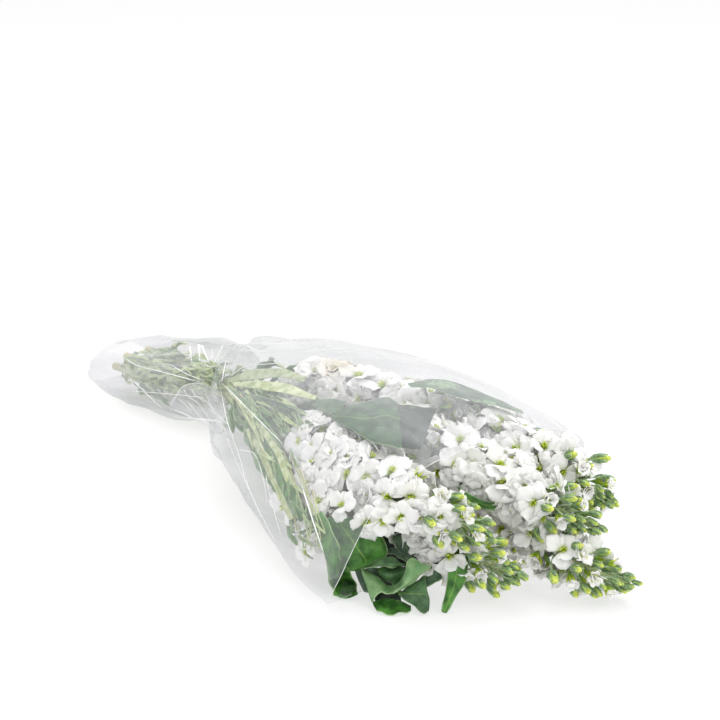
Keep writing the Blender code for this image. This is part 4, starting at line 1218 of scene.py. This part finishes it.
def sprigs(work, film, stem, count, insets, spread, tones, marks):
    """Small leaves that leave a stem and lie along the film."""
    line = through(marks, 40)
    for _ in range(count):
        k = rng.randrange(len(line) - 1)
        way = unit(line[k + 1] - line[k])
        side = np.array([-way[1], way[0]])
        here = line[k] + side * rng.uniform(-spread, spread)
        there = here + unit(way + side * rng.uniform(-0.6, 0.6)) * rng.uniform(9, 20)
        inset = rng.uniform(*insets) * MM
        first, out = on_film(film, *here, inset)
        last = on_film(film, *there, inset * 0.8)[0]
        near = np.argmin(np.linalg.norm(stem["path"] - first, axis=1))
        foot = stem["path"][max(0, near - rng.randrange(4, 12))]
        ways = [foot, (foot + first) / 2 + out * 0.002, first, (first + last) / 2, last]
        leaf(work, ways, out, rng.uniform(0.0013, 0.0030), 14, 0.0012, 2.0, rng.choice(tones), 9)


def blade(work, rows, tone, rib, wave):
    """Leaf through rows of three places: one margin, the midrib, the other margin."""
    n, m = 20, 10
    long = through(rows, n + 1)
    s = np.linspace(0, 1, m + 1)
    weights = np.stack([(1 - s) * (1 - 2 * s), 4 * s * (1 - s), s * (2 * s - 1)])
    grid = np.einsum("nkc,km->nmc", long, weights)
    normal = units(np.cross(np.gradient(grid, axis=0), np.gradient(grid, axis=1)))
    t = np.linspace(0, 1, n + 1)[:, None]
    side = np.abs(2 * s - 1)[None, :]
    beat = np.sin(2 * math.pi * 2.3 * t + np.where(s < 0.5, 0.4, 2.1)[None, :]) * side**2
    beat = beat + 0.6 * np.sin(9 * t + 5 * s[None, :])
    grid = grid + normal * (wave * beat)[..., None]
    grid[..., 2] = np.maximum(grid[..., 2], 0.0008)
    half = np.linalg.norm(long[:, 2] - long[:, 0], axis=1)[:, None] / 2
    if (normal * (CAMERA - grid)).sum() <= 0:  # its upper side looks at the camera
        grid = grid[:, ::-1]
    add_blade(work, grid, side * half, (1 - side) * half, length_along(long[:, 1]), tone, rib)


def placed_leaf(work, film, rows, tone, rib, under):
    """Leaf whose rows are a depth or three, a bulge, and three pixels of the photograph.

    Under the film a depth is how far inside it; in the open it is the distance from the camera.
    """
    places = []
    for depth, bulge, *pixels in rows:
        row = []
        depths = depth if isinstance(depth, tuple) else (depth,) * 3
        for k, (px, py) in enumerate(pixels):
            far = (depths[k] - (bulge if k == 1 else 0.0)) * MM
            if under:
                row.append(on_film(film, px, py, far)[0])
                continue
            ray = (seen(px, py, 1.0) - CAMERA)
            hit = film.ray_cast(Vector(CAMERA), Vector(unit(ray)), 3.0)
            if hit[0] is not None:  # stays behind the near side of the film
                near = hit[3] / np.linalg.norm(ray) + 0.002
                far = max(far, near) if near < far + 0.03 else far
            row.append(seen(px, py, far))
        places.append(row)
    blade(work, places, tone, rib, wave=0.0006 if under else 0.0008)


def leaves_of(name, stem, film, rods, bark, green):
    """A stem's leaves: those along it, those the photograph shows through the film, and open ones."""
    node = "stem_" + name
    work = Patchwork()
    grown_leaves(work, stem)
    for owner, tone, rib, rows in LEAVES_UNDER:
        if owner == name:
            placed_leaf(work, film, rows, tone, rib, True)
    if name == "h":
        settle(stalks(node + "_stalks", film, STALKS, bark, rods), node)
    leaves = work.build(node + "_leaves", green)
    press_mesh(leaves, film, False)
    settle(leaves, node)
    shown = [entry[1:] for entry in LEAVES_OPEN if entry[0] == name]
    if shown:
        work = Patchwork()
        for tone, rib, rows in shown:
            placed_leaf(work, film, rows, tone, rib, False)
        settle(work.build(node + "_outer_leaves", green), node)


# Florets and buds

def petal(work, turn, long, half, lean, spread, cup, ruffle, twist, lift=0.0, rows=5, cols=6):
    """Petal of a floret whose axis is Z: a narrow claw that rises, then an oval limb that spreads."""
    t = np.linspace(0, 1, rows + 1)
    s = np.linspace(-1, 1, cols + 1)[None, :]
    angle = np.radians(lean + (spread - lean) * np.clip((t - 0.08) / 0.42, 0, 1) ** 1.2)
    step = long / rows
    mean = (angle[1:] + angle[:-1]) / 2
    flat = 0.0008 + np.r_[0, np.cumsum(np.sin(mean) * step)]
    rise = lift + np.r_[0, np.cumsum(np.cos(mean) * step)]
    limb = np.clip((t - 0.10) / 0.50, 0, 1)
    wide = half * (0.13 + 0.87 * limb**0.85)
    wide[-1] *= 0.74
    t = t[:, None]
    notch = rng.uniform(-0.02, 0.08)
    short = long * (0.24 * np.abs(s) ** 2.4 * t**4 + notch * np.exp(-(s / 0.3) ** 2) * t**8)
    first, second, third = (rng.uniform(0, 6.28) for _ in range(3))
    wavy = ruffle * (np.sin(rng.uniform(2.5, 5.5) * s + first) * t**1.6 + 0.6 * np.cos(6 * t + second) * t)
    wavy = wavy + 0.7 * ruffle * np.sin(8.0 * s + third) * t**3
    groove = 0.05 * long * np.exp(-(s / 0.22) ** 2) * t * (1 - t)
    wavy = wavy + (cup * s**2 + twist * s) * wide[:, None] - groove
    along = np.stack([np.sin(angle), np.cos(angle)], axis=1)
    normal = np.stack([-np.cos(angle), np.sin(angle)], axis=1)
    out = flat[:, None] - short * along[:, None, 0] + wavy * normal[:, None, 0]
    up = rise[:, None] - short * along[:, None, 1] + wavy * normal[:, None, 1]
    across = s * wide[:, None]
    c, k = math.cos(turn), math.sin(turn)
    grid = np.stack([out * c - across * k, out * k + across * c, up], axis=-1)
    verts, quads, _ = shell(grid, PETAL_THICK)
    tip = np.tile(np.repeat(t, cols + 1, axis=1).ravel(), 2)
    work.add(verts, quads, tip=tip, tone=rng.random(), faded=0.0)


def ring_of(work, kind, many, turn_of, **form):
    """A ring of petals of one kind, each with its own draw from the kind's spans."""
    for i in range(many):
        turn = turn_of(i)
        drawn = [rng.uniform(*span) if isinstance(span, tuple) else span for span in PETALS[kind]]
        petal(work, turn, *drawn, **form)


def spindle(work, path, radii, tones, sides=6, flat=1.0):
    """Closed round body along a path, with a tone at each ring."""
    path = np.asarray(path, float)
    along = units(np.gradient(path, axis=0))
    across = units(np.cross(along, np.array([0.23, 0.91, 0.33])))
    up = np.cross(along, across)
    turn = 2 * math.pi * np.arange(sides) / sides
    rings = path[:, None] + np.asarray(radii)[:, None, None] * (
        np.cos(turn)[None, :, None] * across[:, None] + flat * np.sin(turn)[None, :, None] * up[:, None])
    n = len(path)
    verts = np.vstack([rings.reshape(-1, 3), path[0], path[-1]])
    faces = []
    for i in range(n - 1):
        for k in range(sides):
            j = (k + 1) % sides
            faces.append((i * sides + k, i * sides + j, (i + 1) * sides + j, (i + 1) * sides + k))
    for k in range(sides):
        j = (k + 1) % sides
        faces += [(n * sides, j, k), (n * sides + 1, (n - 1) * sides + k, (n - 1) * sides + j)]
    work.add(verts, faces, tone=np.r_[np.repeat(tones, sides), tones[0], tones[-1]])


def open_floret(k):
    """Petals, and calyx with eye, of one open floret: odd ones are loose, with a lime eye."""
    petals, heart = Patchwork(), Patchwork()
    eye = k % 2 == 1
    first = rng.uniform(0, 6.28)
    many = 4 if eye and k != 3 else 5
    few = 2 if eye else 6
    ring_of(petals, "outer", many, lambda i: first + 2 * math.pi * i / many + rng.uniform(-0.30, 0.30),
            cols=6 if eye else 5)
    ring_of(petals, "middle", few, lambda i: first + 0.6 + 2 * math.pi * i / few + rng.uniform(-0.5, 0.5),
            lift=0.0006, rows=4, cols=4)
    ring_of(petals, "inner", 0 if eye else 5, lambda _: rng.uniform(0, 6.28), lift=0.0010, rows=3, cols=3)
    spindle(heart, [(0, 0, -0.0160), (0, 0, -0.0085), (0, 0, -0.0065), (0, 0, -0.0010), (0, 0, 0.0022)],
            [0.0007, 0.0008, 0.0018, 0.0025, 0.0016], [0.0, 0.1, 0.30, 0.50, 0.62])
    for i in range(6 if eye else 2):
        a = first + 0.3 + 2 * math.pi * i / 7 + rng.uniform(-0.4, 0.4)
        way = np.array([math.cos(a), math.sin(a)])
        far = rng.uniform(0.0012, 0.0034)
        high = rng.uniform(0.0062, 0.0088)
        path = [(0, 0, 0.001), (*way * 0.0011, high * 0.6), (*way * far * 0.8, high * 0.9),
                (*way * far, high)]
        spindle(heart, path, [0.0007, 0.0008, 0.0008, 0.0004], [0.52, 0.58, 0.70, 0.86], sides=4)
    return petals, heart


def opening_floret():
    """Petals, and calyx on its stalk, of a bud that has half opened."""
    petals, heart = Patchwork(), Patchwork()
    first = rng.uniform(0, 6.28)
    ring_of(petals, "opening", 4, lambda i: first + 2 * math.pi * i / 4 + rng.uniform(-0.3, 0.3), cols=4)
    ring_of(petals, "closed", 2, lambda i: first + 1 + 3.1 * i, lift=0.0004, rows=4, cols=4)
    spindle(heart, [(0, 0, -0.0160), (0, 0, -0.0075), (0, 0, -0.0055), (0, 0, -0.0012), (0, 0, 0.0024)],
            [0.0007, 0.0008, 0.0016, 0.0022, 0.0017], [0.0, 0.1, 0.30, 0.55, 0.7])
    for i in range(5):
        a = first + 0.5 + 2 * math.pi * i / 5 + rng.uniform(-0.2, 0.2)
        way = np.array([math.cos(a), math.sin(a)])
        far = rng.uniform(0.0034, 0.0062)
        path = [(*way * 0.0012, -0.0050), (*way * 0.0026, -0.0006), (*way * far * 0.8, 0.0036),
                (*way * far, 0.0072)]
        spindle(heart, path, [0.0006, 0.0010, 0.0010, 0.0003], [0.20, 0.55, 0.78, 0.95], sides=4)
    return petals, heart


def bud_shape(k):
    """One bud on its stalk. Its axis starts along Z and bends towards X, the tip of the head."""
    work = Patchwork()
    ripe = (k % 4) / 3
    long = 0.0062 + 0.0040 * ripe
    stalk = 0.0075 + 0.0090 * ripe + rng.uniform(-0.0015, 0.0015)
    side = np.array([0, 1.0, 0])
    sway = rng.uniform(-0.0010, 0.0010)
    path = np.array([(0, 0, 0), (0.0004, sway, stalk * 0.35), (stalk * 0.12, sway, stalk * 0.72),
                     (stalk * 0.26, 0, stalk)])
    spindle(work, path, [0.00080, 0.00062, 0.00062, 0.0009], [0.0, 0.02, 0.06, 0.14], sides=5)
    neck, way = path[-1], unit([0.55, sway * 200, 0.84])
    other = np.cross(way, side)
    fat = 0.0014 + 0.0009 * ripe
    t = np.array([0.0, 0.16, 0.42, 0.70, 0.90, 1.0])
    belly = np.array([0.45, 0.85, 1.0, 0.88, 0.60, 0.18]) * fat
    spindle(work, neck + np.outer(t * long, way), belly,
            np.clip(np.array([0.30, 0.48, 0.55, 0.60, 0.68, 0.76]) + 0.12 * (ripe - 0.5), 0, 1), sides=7)
    first = rng.uniform(0, 1.5)
    for i in range(4):
        a = first + math.pi * i / 2 + rng.uniform(-0.15, 0.15)
        out = math.cos(a) * side + math.sin(a) * other
        cover = rng.uniform(0.86, 1.08) - 0.16 * ripe
        over = np.array([0.0, 0.22, 0.55, 0.85, 1.0]) * cover
        split = np.array([0.0, 0.0, 0.0, 0.0002, 0.0006]) * rng.uniform(0, 2.5)
        lift = np.interp(over, t, belly) * np.array([0.4, 0.74, 0.84, 0.95, 1.1]) + split
        rib = [neck + way * long * u + out * r for u, r in zip(over, lift)]
        spindle(work, rib, np.array([0.7, 1.0, 0.95, 0.62, 0.18]) * (0.00095 + 0.0005 * ripe),
                [0.10, 0.30, 0.42, 0.26, 0.04], sides=5, flat=0.75)
    return work


def shapes():
    """Collections of the shapes that the heads repeat."""
    groups = {}
    for label in ("petals", "hearts", "buds"):
        groups[label] = bpy.data.collections.new(label)
        bpy.context.scene.collection.children.link(groups[label])
    for k in sorted(DOUBLE + SINGLE + OPENING):
        petals, heart = opening_floret() if k in OPENING else open_floret(k)
        petals.build(f"petals_{k}", group=groups["petals"])
        heart.build(f"hearts_{k}", group=groups["hearts"])
    for k in range(BUDS):
        bud_shape(k).build(f"buds_{k}", group=groups["buds"])
    return groups


def turned(x_way, z_way):
    """Euler angles of a shape whose Z looks along z_way and X as near as may be along x_way."""
    z = unit(z_way)
    y = unit(np.cross(z, x_way))
    x = np.cross(y, z)
    return Matrix(np.stack([x, y, z], axis=1).tolist()).to_euler()


def loose_florets(stems, film):
    """Hands the single florets to the stems that carry them."""
    for owner, inset, px, py, size, kind in LOOSE:
        place, facing = on_film(film, px, py, inset * MM)
        if inset > 100:
            place, facing = seen(px, py, inset * MM), unit(CAMERA - place) - np.array([0, 0, 0.9])
        stems[owner]["loose"].append((place, facing + np.array([0.2, -0.3, 0.3]), size, kind))


def floret_points(stem, phase):
    """Place, turn, size and shape of a head's florets."""
    rows = []
    span, count = stem["end"] - stem["foot"], stem["count"]
    for k in range(count):
        t = (k + 0.5) / count
        a = math.radians(phase + GOLDEN * k + rng.uniform(-16, 16))
        p, along, out = beside(stem, stem["foot"] + 0.003 + (span - 0.002) * t, a)
        axis = leaned(out, along, math.radians(2 + 38 * t**1.6))
        stray = np.array([rng.uniform(-1, 1) for _ in range(3)]) * 0.42
        reach = 0.0190 * (1 - 0.22 * t**2) * rng.uniform(0.84, 1.16)
        spin = rng.uniform(0, 6.28)
        kind = rng.choice(DOUBLE) if rng.random() > 0.42 + 0.4 * t else rng.choice(SINGLE)
        if rng.random() < stem["green"] * (0.4 + t):
            kind = rng.choice(OPENING)
            reach = 0.0200
        facing = unit(axis + stray)
        x_way = math.cos(spin) * along + math.sin(spin) * np.cross(facing, along)
        rows.append((p + axis * reach, turned(x_way, facing), 1.05 - 0.20 * t**2.2, kind))
    for k in range(count // 4):  # smaller ones deep in the head close the gaps
        at = stem["foot"] + 0.006 + (span - 0.008) * (k + 0.5) / (count // 4)
        p, along, out = beside(stem, at, math.radians(phase + 70 + 222.5 * k))
        axis = unit(out + 0.3 * along)
        rows.append((p + axis * 0.0095, turned(along, axis), 0.85, DOUBLE[k % 3]))
    for k in range(8):  # opening ones among the lowest buds
        a = math.radians(phase + GOLDEN * (count + k) + rng.uniform(-10, 10))
        p, along, out = beside(stem, stem["end"] - 0.004 + 0.0038 * k, a)
        axis = leaned(out, along, 0.62 + 0.05 * k)
        rows.append((p + axis * 0.0165, turned(along, axis), 1.0 - 0.045 * k, OPENING[k % 3]))
    for place, facing, size, kind in stem["loose"]:
        rows.append((place, turned((0.3, 0.2, 1.0), facing), size, kind))
    return rows


def bud_points(stem, phase):
    """Place, turn, size and shape of a head's buds."""
    rows = []
    early = 0.10 * (stem["end"] - stem["foot"])
    tail = stem["way"][-1] - stem["end"]
    for k in range(stem["buds"]):
        t = (k + 0.5) / stem["buds"]
        a = math.radians(GOLDEN * (k + 3) + phase + rng.uniform(-14, 14))
        p, along, out = beside(stem, stem["end"] - early + (tail * 0.62 + early) * t**0.9, a)
        axis = leaned(out, along, math.radians(24 + 42 * t**1.3))
        size = (1.38 - 0.42 * t) * rng.uniform(0.90, 1.12)
        ripe = int(np.clip(round(3.6 - 2.6 * t**1.5 + rng.uniform(-0.8, 0.8)), 0, 3))
        rows.append((p, turned(along, axis), size, ripe + 4 * (k % 2)))
    return rows


def copies(name, rows, group, tree, finish, seed):
    """A head's florets or buds: the shapes of a group, set where the rows say."""
    places, turns, sizes, kinds = zip(*rows)
    cloud = points_object(name, places, turn=[tuple(t) for t in turns], size=sizes, kind=kinds)
    return grown(cloud, tree, name, Shapes=group, Size=1.0, Spread_of_size=0.06, Seed=seed, Finish=finish)


def add_faded(obj, place, reach):
    """Older petals near a place turn beige."""
    far = np.linalg.norm(places_of(obj) - place, axis=1)
    faded = np.clip(1.2 - far / reach, 0, 1)
    obj.data.attributes["faded"].data.foreach_set("value", faded.astype(np.float32))


# Frame, stage and camera

def settle(obj, node):
    """Moves the mesh into the frame, hangs it on the body and hides the part it stands for."""
    obj.data.transform(Matrix.Translation(Vector(SHIFT)))
    obj.data.update()
    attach(obj, BODY)
    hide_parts(node)


def stage():
    """White light table, soft studio light all round, and two lamps."""
    bpy.ops.mesh.primitive_plane_add(size=30, location=(0, 0, -0.0004))
    floor = bpy.context.object
    floor.name = "floor"
    finish, tree, shader = new_finish("white light table")
    put(tree, shader, {"Base Color": linear("#9E9E9E"), "Roughness": 0.9, "Specular IOR Level": 0.0,
                       "Emission Color": linear("#FFFFFF"), "Emission Strength": 0.63})
    floor.data.materials.append(finish)
    world = bpy.data.worlds.new("studio")
    bpy.context.scene.world = world
    world.use_nodes = True
    put(world.node_tree, world.node_tree.nodes["Background"], {0: linear("#FFFFFF"), 1: 0.98})
    for name, place, size, watts in LAMPS:
        light = bpy.data.lights.new(name, "AREA")
        light.size = size
        light.energy = watts
        lamp = object_of(name, light)
        lamp.location = place
        lamp.rotation_euler = (Vector((0, 0, 0)) - Vector(place)).to_track_quat("-Z", "Y").to_euler()
    bpy.context.scene.view_settings.view_transform = "Standard"


def camera():
    """Camera of the photograph."""
    cam = bpy.data.cameras.new("camera")
    cam.lens = LENS
    obj = object_of("camera", cam)
    obj.location = CAMERA + SHIFT
    obj.rotation_euler = (TILT, 0.0, TURN)
    bpy.context.scene.camera = obj


# The whole bunch

def main():
    """Builds every piece, stem by stem, then the sleeve, its tie, the stage and the camera."""
    white, lime, felt = petal_finish(), heart_finish(), bud_finish()
    # The crease finish is a painted white highlight, for the folds, the cut edge and the tie band.
    bark, green, clear, crease = stem_finish(), leaf_finish(), film_finish(), crease_highlight_finish()
    copy_tree, rods = copies_tree(), rod_tree()
    groups = shapes()
    stems = plan_stems()
    sheet, film, ring = film_sheet(clear)
    flap = film_patches("sleeve_flap", PATCHES, clear, film)
    folds = film_creases(crease, surface_of(sheet, flap), rods, ring)
    loose_florets(stems, film)
    for k, (name, stem) in enumerate(stems.items()):
        node, head = "stem_" + name, "bloom_" + name
        settle(stem_rod(node + "_rod", stem, bark, rods), node)
        leaves_of(name, stem, film, rods, bark, green)
        phase = rng.uniform(0, 360)
        florets = floret_points(stem, phase)
        buds = bud_points(stem, phase)
        petals = copies(head + "_petals", florets, groups["petals"], copy_tree, white, 40 + k)
        hearts = copies(head + "_hearts", florets, groups["hearts"], copy_tree, lime, 40 + k)
        tips = copies(node + "_buds", buds, groups["buds"], copy_tree, felt, 60 + k)
        if name == "f":
            add_faded(petals, on_film(film, 337, 365, 0.02)[0], 0.022)
        for obj, what, slot in ((petals, head, "petal"), (hearts, head, "petal"), (tips, node, "leaf")):
            press_mesh(obj, film, True)
            settle(obj, what)
    for k, (owner, *band) in enumerate(SPRIGS):
        work = Patchwork()
        sprigs(work, film, stems[owner], *band)
        tuft = work.build(f"stem_{owner}_small_leaves_{k}", green)
        press_mesh(tuft, film, False)
        settle(tuft, "stem_" + owner)
    for piece in (sheet, folds, flap):
        settle(piece, "sleeve")
        piece.visible_shadow = False
        piece.visible_diffuse = False
    settle(tie_band(crease), "tie")
    for group in groups.values():
        for obj in list(group.objects):
            bpy.data.objects.remove(obj, do_unlink=True)
        bpy.data.collections.remove(group)
    stage()
    camera()

main()
